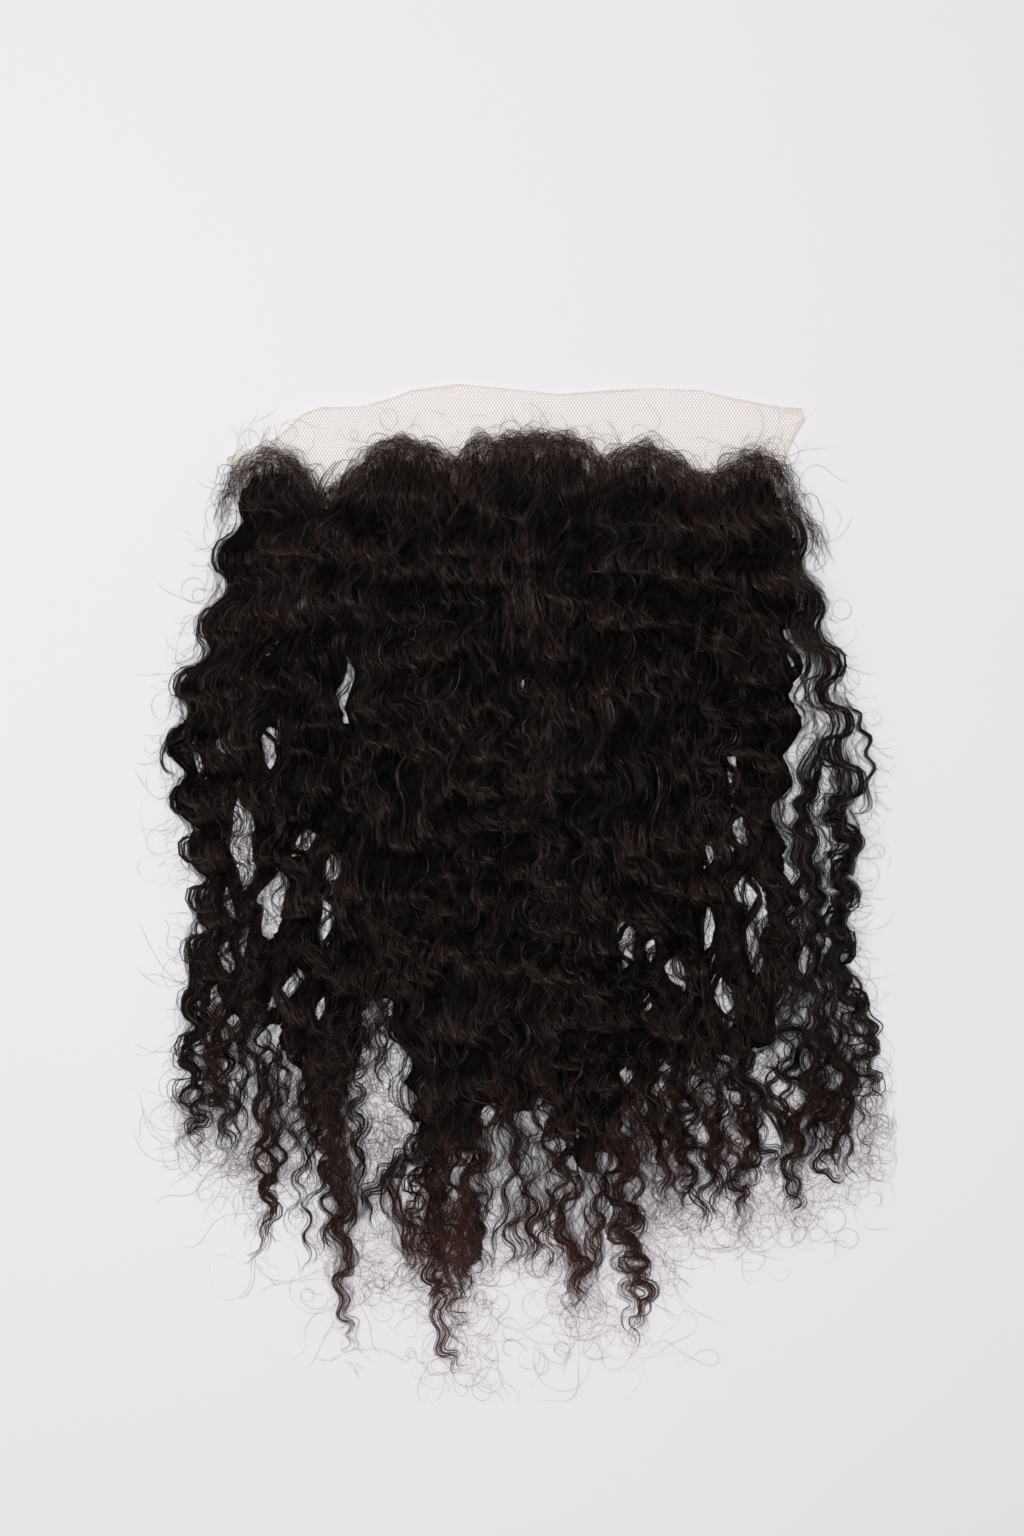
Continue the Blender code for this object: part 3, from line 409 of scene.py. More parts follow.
class HairField:
    """How far inside the hair each point of a grid lies, and how high the hair is there."""

    def __init__(self):
        half = side(72)
        self.x = np.arange(-half, half, FIELD_STEP)
        self.y = np.arange(back(104), back(-6), FIELD_STEP)
        self.inside = np.full((len(self.x), len(self.y)), -0.03)
        self.core = self.inside.copy()  # the same for the hair that is packed
        self.height = np.zeros_like(self.inside)
        for lock in LOCKS:
            self.add_lock(lock)
        self.opening = np.full_like(self.inside, 1.0)
        for window in WINDOWS:
            self.cut_window(window)
        self.hair = self.inside
        self.inside = np.minimum(self.inside, self.opening)
        turns = wave_turns(self.y)[None, :]
        ripple = RIPPLE_HEIGHT * np.cos(math.tau * (turns + self.x[:, None] / LACE_WIDTH))
        self.height += ripple * smooth_step(self.height / HAIR_LOFT)
        rim = np.sqrt(2 * RIM_RADIUS * np.maximum(self.inside, 0))
        self.height = np.minimum(self.height, rim)
        rng = np.random.default_rng(3)
        self.dips = soft_noise(rng, self.x, self.y, 0.034, 0.012)
        self.dips = np.maximum(self.dips, soft_noise(rng, self.x, self.y, 0.016, 0.009) - 0.08)
        self.dips = smooth_step((self.dips - 0.62) / 0.12) * smooth_step((back(5) - self.y) / 0.03)

    def around(self, x, y, reach):
        """The part of the grid within reach of a place."""
        i = slice(*np.searchsorted(self.x, (x - reach, x + reach)))
        j = slice(*np.searchsorted(self.y, (y - reach, y + reach)))
        return i, j

    def add_lock(self, lock):
        """Raise a lock along its wave, with a narrower core that ends before its tip."""
        y = np.arange(back(lock[0]) - side(lock[8]) / 2, back(lock[1]), -FIELD_STEP)
        middle, radius, top = lock_shape(lock, y)
        turns = wave_turns(y) + lock[13]
        middle = middle + lock_swing(lock, y, top) * np.sin(math.tau * turns)
        rise = ROOT_LOFT + (HAIR_LOFT - ROOT_LOFT) * smooth_step((back(0) - y) / LACE_DEPTH)
        height = np.minimum(rise, 2 * radius * LOCK_FULLNESS)
        run = (back(0) - y) / HAIR_LENGTH
        share = (top - y) / (y[0] - y[-1])
        fade = smooth_step((share - 0.74) / 0.26) * smooth_step((run - 0.56) / 0.08)
        ends = run + 0.03 * np.sin(middle * 130) + 0.02 * np.sin(middle * 310)
        core = radius * (1 - fade) * (1 - smooth_step((ends - 0.75) / 0.12))
        core = core - 0.0022 - 0.0012 * smooth_step((run - 0.5) / 0.2)
        core = core - 0.0020 * smooth_step((0.010 - radius) / 0.004)
        core = core - 0.0018 * smooth_step((np.abs(middle) - side(44)) / side(5))
        for x, y, r, h, c in zip(middle, y, radius, height, core):
            i, j = self.around(x, y, r + 2 * FIELD_STEP)
            away = np.hypot(self.x[i, None] - x, self.y[None, j] - y)
            self.inside[i, j] = np.maximum(self.inside[i, j], r - away)
            self.core[i, j] = np.maximum(self.core[i, j], c - away)
            dome = h * np.sqrt(np.maximum(1 - (away / r) ** 2, 0))
            self.height[i, j] = np.maximum(self.height[i, j], dome)

    def cut_window(self, window):
        """Open a ragged oval in the hair."""
        wide, tall = (size / 2 for size in window_size(window))
        i, j = self.around(side(window[0]), back(window[1]), 2 * max(wide, tall))
        across, along, _ = in_window(window, self.x[i, None], self.y[None, j])
        across, along = across / wide, along / tall
        around = np.arctan2(along, across)
        ragged = 0.20 * np.sin(3 * around + window[1]) + 0.12 * np.sin(5 * around + window[0])
        outside = (np.hypot(across, along) - 1 + ragged) * min(wide, tall)
        self.opening[i, j] = np.minimum(self.opening[i, j], outside)

    def read(self, grid, x, y):
        """A grid's value at each place, from its four neighbours."""
        u = np.clip((x - self.x[0]) / FIELD_STEP, 0, len(self.x) - 1.001)
        v = np.clip((y - self.y[0]) / FIELD_STEP, 0, len(self.y) - 1.001)
        i, j = u.astype(int), v.astype(int)
        return from_four(grid, i, j, u - i, v - j)

    def over(self, x, y):
        """The hair's height and its dips at each place, and the height of what it lies on."""
        on = np.where(y > -LACE_DEPTH / 2, LACE_TOP, 0.0)
        return self.read(self.height, x, y), self.read(self.dips, x, y), on


def hairline_y(x):
    """The hairline as the table gives it."""
    return back(np.interp(x, [side(p[0]) for p in HAIRLINE], [p[1] for p in HAIRLINE]))


def ragged_hairline(x):
    """Where the hair's roots really begin: in small uneven peaks along the hairline."""
    peaks = 0.0026 * np.sin(x * 290 + 1) * np.sin(x * 113) - 0.0014 * np.sin(x * 811)
    return hairline_y(x) - 0.0030 + peaks


def section_of(x, y):
    """Which of the five sections each place belongs to."""
    number = np.zeros(np.shape(x), int)
    for parting in PARTINGS:
        rows = parting[::-1]
        edge = np.interp(y, [back(row[1]) for row in rows], [side(row[0]) for row in rows])
        number = number + (x > edge)
    return number


def wander(rng, rows, columns, knots):
    """Smooth random curves between -1 and 1, one in each row."""
    knots = max(int(knots), 2)
    values = rng.uniform(-1, 1, (rows, knots + 1))
    place = np.linspace(0, knots - 0.001, columns)
    first = place.astype(int)
    part = smooth_step(place - first)
    return values[:, first] * (1 - part) + values[:, first + 1] * part


def one_wander(rng, columns, knots):
    return wander(rng, 1, columns, knots)[0]


def soft_noise(rng, x, y, wide, tall):
    """Smooth random patches between 0 and 1 on a grid, each about so wide and so tall."""
    rows = int((x[-1] - x[0]) / wide) + 3
    columns = int((y[-1] - y[0]) / tall) + 3
    values = rng.uniform(0, 1, (rows, columns))
    u, v = (x[:, None] - x[0]) / wide, (y[None, :] - y[0]) / tall
    i, j = u.astype(int), v.astype(int)
    return from_four(values, i, j, smooth_step(u - i), smooth_step(v - j))


def part_round_windows(x, y, give=1.0):
    """Push strands sideways round the openings, each to the side where it already is."""
    for window in WINDOWS:
        wide, tall = (size / 2 for size in window_size(window))
        across, along, tilt = in_window(window, x, y)
        opening = 1.08 * give * wide * np.maximum(1 - (along / (1.12 * tall)) ** 2, 0)
        reach = 2.4 * wide
        near = (opening > 0) & (np.abs(across) < reach)
        if not near.any():
            continue
        weight = near * np.exp(-(along / tall) ** 2 * 2)
        lean = np.sign((across * weight).sum(axis=1, keepdims=True) + 1e-9)
        reached = np.maximum(lean * across, 0)
        moved = lean * (opening + reached * (reach - opening) / reach)
        shift = np.where(near, moved - across, 0)
        x = x + shift * math.cos(tilt)
        y = y - shift * math.sin(tilt)
    return x, y


class Strands:
    """Strands gathered for one section, to be made into one mesh of narrow bands."""

    def __init__(self):
        self.paths, self.widths, self.rolls, self.tones_and_shades = [], [], [], []

    def take(self, path, width, roll, tone_and_shade):
        if len(path) > 3:
            self.paths.append(path)
            self.widths.append(width)
            self.rolls.append(roll)
            self.tones_and_shades.append(tone_and_shade)

    def made(self, name, material):
        """One mesh of all the strands: narrow bands that taper and roll along their length."""
        counts = np.array([len(path) for path in self.paths])
        ends = np.cumsum(counts)
        starts = ends - counts
        points = np.concatenate(self.paths)
        strand = np.repeat(np.arange(len(counts)), counts)
        row = np.arange(len(points))
        after = np.minimum(row + 1, ends[strand] - 1)
        before = np.maximum(row - 1, starts[strand])
        tangent = unit(points[after] - points[before])
        level = unit(np.column_stack([tangent[:, 1], -tangent[:, 0], np.zeros(len(points))]))
        upright = np.cross(level, tangent)
        along = (row - starts[strand]) / (counts[strand] - 1)
        roll = np.array(self.rolls)[strand]
        turn = roll[:, 0] + roll[:, 1] * np.sin(math.tau * (roll[:, 2] * along + roll[:, 3]))
        across = level * np.cos(turn)[:, None] + upright * np.sin(turn)[:, None]
        taper = np.minimum(np.minimum(0.35 + 8 * along, 0.22 + 4 * (1 - along)), 1)
        half = across * (np.array(self.widths)[strand] * taper / 2)[:, None]
        corners = np.empty((2 * len(points), 3))
        corners[0::2] = points + half
        corners[1::2] = points - half
        corners[:, 2] = np.maximum(corners[:, 2], LEAST_HEIGHT)
        first = row[row != ends[strand] - 1]
        faces = np.column_stack([2 * first, 2 * first + 1, 2 * first + 3, 2 * first + 2])
        step = np.linalg.norm(points - points[before], axis=1)
        run = np.cumsum(step)
        run -= run[starts][strand]
        uv = np.empty((2 * len(points), 2))
        uv[0::2, 0], uv[1::2, 0] = 0, 1
        uv[0::2, 1] = uv[1::2, 1] = run * 20
        # Each strand's lightness per point: a random part, and for many strands painted shade in
        # the troughs of its waves and painted highlight on their crests
        tone_and_shade = np.concatenate([np.broadcast_to(tone_and_shade, len(path))
                               for tone_and_shade, path in zip(self.tones_and_shades, self.paths)])
        tone_and_shade = np.repeat(tone_and_shade, 2)
        return mesh_object(name, corners, faces, material, uv, tone_and_shade)


def lay(sections, path, width, roll, tone_and_shade, place=None):
    """Hand a strand to the section that its middle, or the given place, lies in."""
    x, y = path[len(path) // 2][:2] if place is None else place
    sections[int(section_of(x, y))].take(path, width, roll, tone_and_shade)


def mesh_object(name, corners, faces, material, uv=None, tone_and_shade=None):
    """A smooth object; uv runs across and along a strand; its lightness is random plus painted
    shade.
    """
    mesh = bpy.data.meshes.new(name)
    mesh.vertices.add(len(corners))
    mesh.vertices.foreach_set("co", np.ascontiguousarray(corners, np.float32).ravel())
    mesh.loops.add(faces.size)
    mesh.loops.foreach_set("vertex_index", np.ascontiguousarray(faces, np.int32).ravel())
    mesh.polygons.add(len(faces))
    mesh.polygons.foreach_set("loop_start", np.arange(len(faces), dtype=np.int32) * faces.shape[1])
    mesh.polygons.foreach_set("use_smooth", np.ones(len(faces), bool))
    if uv is not None:
        layer = mesh.uv_layers.new(name="strand")
        layer.data.foreach_set("uv", uv[faces.ravel()].astype(np.float32).ravel())
    if tone_and_shade is not None:
        layer = mesh.attributes.new("tone_and_shade", "FLOAT", "POINT")
        layer.data.foreach_set("value", tone_and_shade.astype(np.float32))
    mesh.update(calc_edges=True)
    mesh.validate()
    mesh.materials.append(material)
    made = bpy.data.objects.new(name, mesh)
    bpy.context.collection.objects.link(made)
    return made


def clump_line(lock, rng, turns, y, middle, radius, top, seat):
    """The path, thickness and level of one clump, a rope of hair that curls as one."""
    columns = len(y)
    waves = columns / STATIONS_A_WAVE
    run = (back(0) - y) / HAIR_LENGTH
    tight = smooth_step(run / 0.55)
    free = 0.08 + 0.10 * smooth_step((run - 0.12) / 0.5)
    free = free * (1 if radius.max() > side(2.6) else 0.4)
    own = rng.uniform(-0.7, 0.7) + one_wander(rng, columns, waves / 2.5)
    phase = lock_phase(lock, y) + free * own
    angle = math.tau * (turns + phase)
    inner = smooth_step((side(47) - np.abs(middle)) / side(6))
    swing = lock_swing(lock, y, top) * (1 + 0.25 * tight + inner * (0.7 - 0.4 * tight))
    swing = swing * (1 + 0.5 * inner * one_wander(rng, columns, waves / 1.5))
    thick = (0.0066 - 0.0022 * tight) * rng.uniform(0.75, 1.25)
    thick = thick * (1 + 0.3 * one_wander(rng, columns, waves / 1.5))
    thick = np.minimum(thick, radius)
    drift = 0.35 * one_wander(rng, columns, waves / 2) * smooth_step((top - y) / 0.03)
    place = np.clip(0.85 * seat + drift, -1, 1)
    x = middle + place * np.maximum(radius - 0.55 * thick, 0) + swing * np.sin(angle)
    y = y + 0.34 * swing * np.sin(2 * angle)
    level = rng.uniform(0.42, 0.98) + 0.22 * one_wander(rng, columns, waves / 3)
    rise = 0.8 * swing * np.cos(angle) + 0.0007 * np.cos(2 * angle + 0.8)
    return x, y, thick, level, rise, angle


def lock_strands(lock, rng, field, sections):
    """Fill a lock with clumps, and each clump with strands that leave it one by one."""
    rooted = lock[0] < 10
    start = back(0) if rooted else back(lock[0])
    turns = np.arange(wave_turns(start), wave_turns(back(lock[1])), 1 / STATIONS_A_WAVE)
    level_y = y_at_turns(turns)
    middle, radius, top = lock_shape(lock, level_y)
    columns = len(level_y)
    waves = columns / STATIONS_A_WAVE
    mean = lock_width(lock)
    clumps = max(int(round(mean / CLUMP_WIDTH)), 1)
    rows = max(int(mean * STRANDS_A_METRE * (1 if rooted else 0.7) / clumps), 8)
    run = (back(0) - level_y) / HAIR_LENGTH
    tail = 0.38 + 0.22 * smooth_step((lock[1] - 84) / 8)
    for clump in range(clumps):
        seat = (clump + rng.uniform(0.2, 0.8)) / clumps * 2 - 1
        cx, cy, thick, level, rise, angle = clump_line(lock, rng, turns, level_y,
                                                       middle, radius, top, seat)
        tress = np.arange(rows) // STRANDS_A_TRESS
        tresses = tress[-1] + 1
        disc = np.sqrt(rng.uniform(0, 1, (tresses, 1)))
        spin = rng.uniform(0, math.tau, (tresses, 1)) + 0.22 * angle
        spin = spin + wander(rng, tresses, columns, waves / 2)
        fine_x = 0.0006 + 0.0005 * smooth_step(run * 1.5)
        fine_x = fine_x * wander(rng, tresses, columns, waves * 1.6)
        fine_y = 0.0009 * wander(rng, tresses, columns, waves * 1.3)
        out = (disc * np.cos(spin))[tress] + 0.16 * rng.normal(0, 1, (rows, 1))
        up = (disc * np.sin(spin))[tress] + 0.16 * rng.normal(0, 1, (rows, 1))
        spread = 1 + 0.9 * (1 - smooth_step((back(0) - level_y) / 0.10))
        spread = spread + 0.4 * smooth_step((np.abs(middle) - side(46)) / side(5))
        veil = rng.uniform(0, 1, (rows, 1)) < HIGH_SHARE
        loose = np.where(veil, 2.6, 1.0)
        origin = rng.uniform(0.15, 1, (rows, 1))
        fan = origin + (1 - origin) * smooth_step((top - level_y + 0.004) / 0.022)
        near_end = smooth_step((np.arange(columns) / columns - 0.60) / 0.35)
        x = cx + out * (thick * spread * np.where(veil, 1.5, 1) + 0.0038 * near_end) + fine_x[tress]
        x = x + loose * 0.0005 * wander(rng, rows, columns, waves * 2.6)
        if rooted:
            x = middle + (x - middle) * fan
            sweep = rng.normal(0, 0.005, (tresses, 1)) * np.exp(-(top - level_y) / 0.016)
            x = x - sweep[tress]
        y = cy + fine_y[tress] + loose * 0.0004 * wander(rng, rows, columns, waves * 2.2)
        stray = rng.uniform(0, 1, rows) < STRAY_SHARE
        parted_x, parted_y = part_round_windows(x, y, 1.12 - 0.75 * rng.beta(1, 2.6, (rows, 1)))
        x = np.where(stray[:, None], x, parted_x)
        y = np.where(stray[:, None], y, parted_y)
        depth, dip, under = field.over(x, y)
        lift = np.clip(level + np.where(veil, 0.3, 0), 0.15, 1.1) * (1 - 0.7 * dip)
        z = under + 0.0005 + depth * lift + smooth_step(depth / LOFTY) * (rise + 0.6 * up * thick)
        z = np.maximum(z, under + FLOOR_GAP)
        # Painted highlight and shade: a strand is lighter where its wave crests and darker in the
        # trough and in the dips, standing in for the light and shadow there
        shade = 0.42 * np.cos(angle + 0.4) * smooth_step(run / 0.10) - 0.5 * dip
        root = np.full(rows, start)
        if rooted:
            root = ragged_hairline(x[:, 0]) - 0.002
            root = root - rng.exponential(rng.choice([0.0032, 0.011], rows))
        last = 1 - 0.16 * rng.beta(1.0, 2.0)
        ends = last * (1 - tail * rng.uniform(0, 1, rows) ** 1.2)
        width = STRAND_WIDTH * rng.uniform(0.6, 1.25, rows)
        for k in range(rows):
            begin = int(rng.uniform(0, 0.12) * columns)
            if rooted:
                begin = int(np.argmax(y[k] < root[k]))
            end = int(columns * ends[k])
            path = np.column_stack([x[k, begin:end], y[k, begin:end], z[k, begin:end]])
            if len(path) < 5:
                continue
            roll = (rng.normal(0, 0.45) + 0.4 * out[k, 0], rng.uniform(0.2, 0.6), rng.uniform(1, 4),
                    rng.uniform())
            thin = stray[k] or veil[k, 0]
            tone_and_shade = 0.12 + 0.72 * rng.uniform() + shade[k, begin:end]
            lay(sections, path, 3 * FINE_WIDTH if thin else width[k], roll, tone_and_shade + 0.3 * thin)


def tip_fuzz(lock, rng, field, sections):
    """Fine hairs in a loose cloud round the last part of a lock."""
    run = lock[1] - TIP_REACH + TIP_REACH * np.linspace(0, 1, 16)
    y = back(run)
    middle, _, top = lock_shape(lock, y)
    turns = wave_turns(y) + lock_phase(lock, y)
    x = middle + lock_swing(lock, y, top) * np.sin(math.tau * turns)
    places = list(zip(x / side(1), run))
    curl_strands((TIP_HAIRS, 5.0, 3.0, places), rng, field, sections, 0.002, 0.0026, FINE_WIDTH)


def low_bands(lock, rng, field, sections):
    """Broad bands of packed hair low in a lock, which keep its wave."""
    turns = np.arange(wave_turns(back(lock[0])), wave_turns(back(lock[1])),
                      1 / BAND_STATIONS_A_WAVE)
    level_y = y_at_turns(turns)
    middle, radius, top = lock_shape(lock, level_y)
    columns = len(level_y)
    mean = lock_width(lock)
    if columns < 8 or mean < side(5):
        return
    rows = max(int(mean / BAND_SPACING), 4)
    swing = 1.1 * lock_swing(lock, level_y, top)
    phase = lock_phase(lock, level_y) + 0.10 * wander(rng, rows, columns, columns / 20)
    place = np.linspace(-1, 1, rows)[:, None] + 0.25 * wander(rng, rows, columns, columns / 16)
    angle = math.tau * (turns + phase)
    x = middle + np.clip(place, -1, 1) * np.maximum(radius - 0.004, 0.0005) + swing * np.sin(angle)
    y = np.broadcast_to(level_y, x.shape) + 0.0008 * wander(rng, rows, columns, columns / 6)
    x, y = part_round_windows(x, y)
    depth, _, under = field.over(x, y)
    z = under + STRAND_SEAT + 0.42 * depth
    z = z + 0.5 * smooth_step(depth / LOFTY) * swing * np.cos(angle)
    z = np.maximum(z, under + FLOOR_GAP) + 0.0006 * wander(rng, rows, columns, columns / 8)
    front = hairline_y(x) - 0.004 - 0.004 * rng.uniform(0, 1, (rows, 1))
    for k in range(rows):
        begin = int(np.argmax(y[k] < front[k]))
        lowest = rng.uniform(66, 84) - 9 * (abs(lock[4]) > 37)
        end = int(np.searchsorted(-level_y, -back(lowest)))
        end = min(end, int(columns * rng.uniform(0.72, 0.92)))
        if end - begin < 6:
            continue
        path = np.column_stack([x[k], y[k], z[k]])[begin:end]
        # Painted highlight and shade along the wave: lighter at each crest, darker in each trough
        shade = 0.4 * np.cos(angle[k, begin:end] + 0.4)
        lay(sections, path, rng.uniform(0.0022, 0.0034), (rng.normal(0, 0.2), 0.15, 2, 0),
            rng.uniform() + shade)


def veil_hairs(lock, rng, field, sections):
    """Short strands of a few frizzy hairs over a lock, which only roughly keep its wave."""
    top, bottom = back(lock[0]), back(lock[1])
    mean = lock_width(lock)
    outer = abs(lock[4]) > 47
    rows = int(mean * (top - bottom) / HAIR_LENGTH * VEIL_HAIRS_A_METRE * (2.1 if outer else 1))
    columns = VEIL_STATIONS
    length = rng.uniform(0.018, 0.046, (rows, 1))
    first = top + 0.003 - (top - bottom) * rng.uniform(0, 0.93, (rows, 1))
    y = first - length * np.linspace(0, 1, columns)
    middle, radius, root = lock_shape(lock, y)
    calm = smooth_step((back(22) - y) / 0.14)
    phase = lock_phase(lock, y) + 0.13 * rng.normal(0, 1, (rows, 1)) * smooth_step((top - y) / 0.2)
    angle = math.tau * (wave_turns(y) + phase)
    swing = lock_swing(lock, y, root) * rng.uniform(0.4, 1.2, (rows, 1))
    lean = rng.normal(0, 1, (rows, 1)) * (y - first) * (0.55 - 0.35 * calm)
    reach = radius + (0.004 if outer else 0)
    x = middle + rng.uniform(-1.0, 1.0, (rows, 1)) * reach + swing * np.sin(angle) + lean
    x = x + (0.0019 - 0.0009 * calm) * wander(rng, rows, columns, 5)
    x = x + 0.0005 * wander(rng, rows, columns, 11)
    y = y + (0.0019 - 0.0009 * calm) * wander(rng, rows, columns, 5)
    stray = rng.uniform(0, 1, (rows, 1)) < 0.3
    parted_x, parted_y = part_round_windows(x, y, rng.uniform(0.6, 1.1, (rows, 1)))
    x, y = np.where(stray, x, parted_x), np.where(stray, y, parted_y)
    depth, dip, under = field.over(x, y)
    z = under + STRAND_SEAT + depth * rng.uniform(0.85, 1.08, (rows, 1)) * (1 - 0.6 * dip)
    z = z + smooth_step(depth / LOFTY) * (0.0012 + 0.0012 * wander(rng, rows, columns, 4))
    front = hairline_y(x[:, 0]) + 0.001
    hidden = rng.uniform(0, 1, rows)
    outside = -field.read(field.hair, x, y).min(axis=1)
    for k in range(rows):
        if y[k, 0] < back(45) and hidden[k] < 0.35:
            continue
        if y[k, 0] > front[k] or dip[k].mean() > 0.3 + 0.5 * hidden[k]:
            continue
        rim = y[k, 0] < back(54) or abs(x[k, 0]) > side(38)
        if outside[k] > (0.009 * hidden[k] if rim else 0.002):
            continue
        roll = (rng.normal(0, 0.7), rng.uniform(0.2, 0.6), rng.uniform(0.5, 2), rng.uniform())
        path = np.column_stack([x[k], y[k], z[k]])
        # Painted highlight and shade: lighter at the crests of the lock's wave, darker in its
        # troughs and in the dips
        shade = 0.34 * np.cos(angle[k] + 0.4) - 0.4 * dip[k]
        tone_and_shade = 0.95 * rng.uniform() ** 1.5 + shade
        lay(sections, path, rng.uniform(0.0008, 0.0018), roll, tone_and_shade)


def curl_strands(curl, rng, field, sections, sway=0.0024, step=0.0024, width=STRAND_WIDTH):
    """A bundle of strands along one curl, thinning to its tip."""
    count, thick, thin, places = curl
    knots = np.array([(side(x), back(y)) for x, y in places])
    length = np.hypot(*np.diff(knots, axis=0).T).sum()
    columns = max(int(length / step), 12)
    share = np.linspace(0, 1, columns)
    middle = through(knots, share)
    level = beside(middle)
    turns = share * length / rng.uniform(0.015, 0.019)
    wave = np.sin(math.tau * (turns + 0.4 * one_wander(rng, columns, turns[-1] / 2)))
    middle = middle + level * (sway * wave * smooth_step(share * 6))[:, None]
    radius = side(np.interp(share, [0, 0.75, 1], [thick, 0.6 * thick, thin])) / 2
    place = rng.normal(0, 0.55, (count, 1)) + 0.4 * wander(rng, count, columns, columns / 14)
    height = rng.uniform(0, 1, (count, 1)) + 0.4 * wander(rng, count, columns, columns / 10)
    fray = 0.0007 + 0.0042 * share ** 2.5
    for k in range(count):
        out = place[k] * radius + fray * one_wander(rng, columns, columns / 7)
        spot = middle + level * out[:, None]
        depth = field.read(field.height, spot[:, 0], spot[:, 1])
        z = STRAND_SEAT + 0.9 * depth + np.clip(height[k], 0, 1.2) * np.minimum(radius * 1.6, 0.006)
        path = np.column_stack([spot, z])
        begin = int(rng.uniform(0, 0.22) * columns)
        end = int(columns * (1 - 0.62 * rng.beta(1.1, 1.6)))
        roll = (rng.normal(0, 0.6), 0.5, rng.uniform(1, 4), rng.uniform())
        lay(sections, path[begin:end], width * rng.uniform(0.35, 0.8), roll, rng.uniform(),
            path[columns // 2, :2])


def tresses(area, rng, field, sections, loose):
    """Thin separate S curls spread over one area, each its own small bundle."""
    left, right, top, bottom, lowest, count = area
    for _ in range(count):
        x, y = rng.uniform(left, right), rng.uniform(top, bottom)
        length = rng.uniform(0.05, 0.12) / HAIR_LENGTH / SHARE
        length = min(length, lowest + rng.normal(0, 1.2) - y)
        if length < 4:
            continue
        waves = max(length * SHARE * HAIR_LENGTH / rng.uniform(0.018, 0.028), 1.2)
        knots = int(waves * 8)
        share = np.arange(knots + 1) / knots
        swing = rng.uniform(0.7, 1.5) * (1 - 0.35 * share)
        turn = math.tau * (waves * share + rng.uniform())
        lean = rng.normal(0, 3.0) + 0.04 * x
        places_x = x + swing * np.sin(turn) + lean * share ** 1.3
        places_y = y + length * share - 0.13 * swing * np.sin(2 * turn)
        places = list(zip(places_x, places_y))
        curl_strands((int(rng.integers(5, 12)), rng.uniform(0.8, 2.2), 0.6, places), rng, field,
                     sections, 0.0, 0.0018)
        curl_strands((5, rng.uniform(2.4, 4.0), 1.6, places), rng, field, loose, 0.0012, 0.0026,
                     FINE_WIDTH)


def companions(lock, rng, field, sections):
    """Thin curls that run beside a lock and leave it here and there."""
    mean = lock_width(lock)
    first = max(lock[0] + 8, 12)
    span = lock[1] - 8 - first
    if span < 4 or (abs(lock[4]) > 50 and mean < side(4.5)):
        return
    for _ in range(int(span * (0.06 + 4.5 * mean))):
        start = first + rng.uniform(0, span)
        length = min(rng.uniform(7, 17), lock[1] + 1 - start)
        share = np.linspace(0, 1, max(int(length * 2.2), 10))
        y = back(start + length * share)
        middle, radius, _ = lock_shape(lock, y)
        angle = math.tau * (wave_turns(y) + lock_phase(lock, y) + rng.normal(0, 0.14))
        swing = side(lock[12]) * rng.uniform(0.9, 1.7)
        apart = rng.choice([-1, 1]) * (rng.uniform(0.3, 0.9) + 0.3 * share)
        x = middle + apart * radius + swing * np.sin(angle)
        y = y + 0.3 * swing * np.sin(2 * angle)
        places = list(zip(x / side(1), (back(0) - y) / (SHARE * HAIR_LENGTH)))
        bundle = (int(rng.integers(4, 9)), rng.uniform(0.8, 1.8), 0.6, places)
        curl_strands(bundle, rng, field, sections, 0.0, 0.0021)


def walk(x, y, way, step):
    """The places passed from x, y by steps that head each way, turned from +Y to +X."""
    return x + np.cumsum(np.sin(way)) * step, y + np.cumsum(np.cos(way)) * step


def loose_curl(rng, x, y, z, heading, length, bend, sections, width):
    """One fine hair that wanders in curls over the surface. bend is its tightest radius."""
    columns = max(int(length / LOOSE_STEP), 6)
    turn = one_wander(rng, columns, max(length / (3.0 * bend), 2)) * LOOSE_STEP / bend * 1.6
    way = heading + np.cumsum(turn)
    path_x, path_y = walk(x, y, way, LOOSE_STEP)
    rise = one_wander(rng, columns, 3) * 0.0012
    path_z = np.maximum(np.linspace(z, min(z, 0.002), columns) + rise, 0.0004)
    path_z = np.where((path_y > -LACE_DEPTH / 2) & (path_z < 0.0015), 0.0015, path_z)
    # A hair ends where it would leave the room that the part may take up
    keep = (np.abs(path_x) < side(ROOM_SIDE)) & (path_y > back(ROOM_BACK))
    keep &= path_y < LACE_DEPTH / 2 + ROOM_FRONT
    if not keep.all():
        columns = int(np.argmin(keep))
    path = np.column_stack([path_x, path_y, path_z])[:columns]
    if len(path) < 5:
        return
    roll = (rng.normal(0, 0.8), 0.5, 2, rng.uniform())
    lay(sections, path, width, roll, rng.uniform())


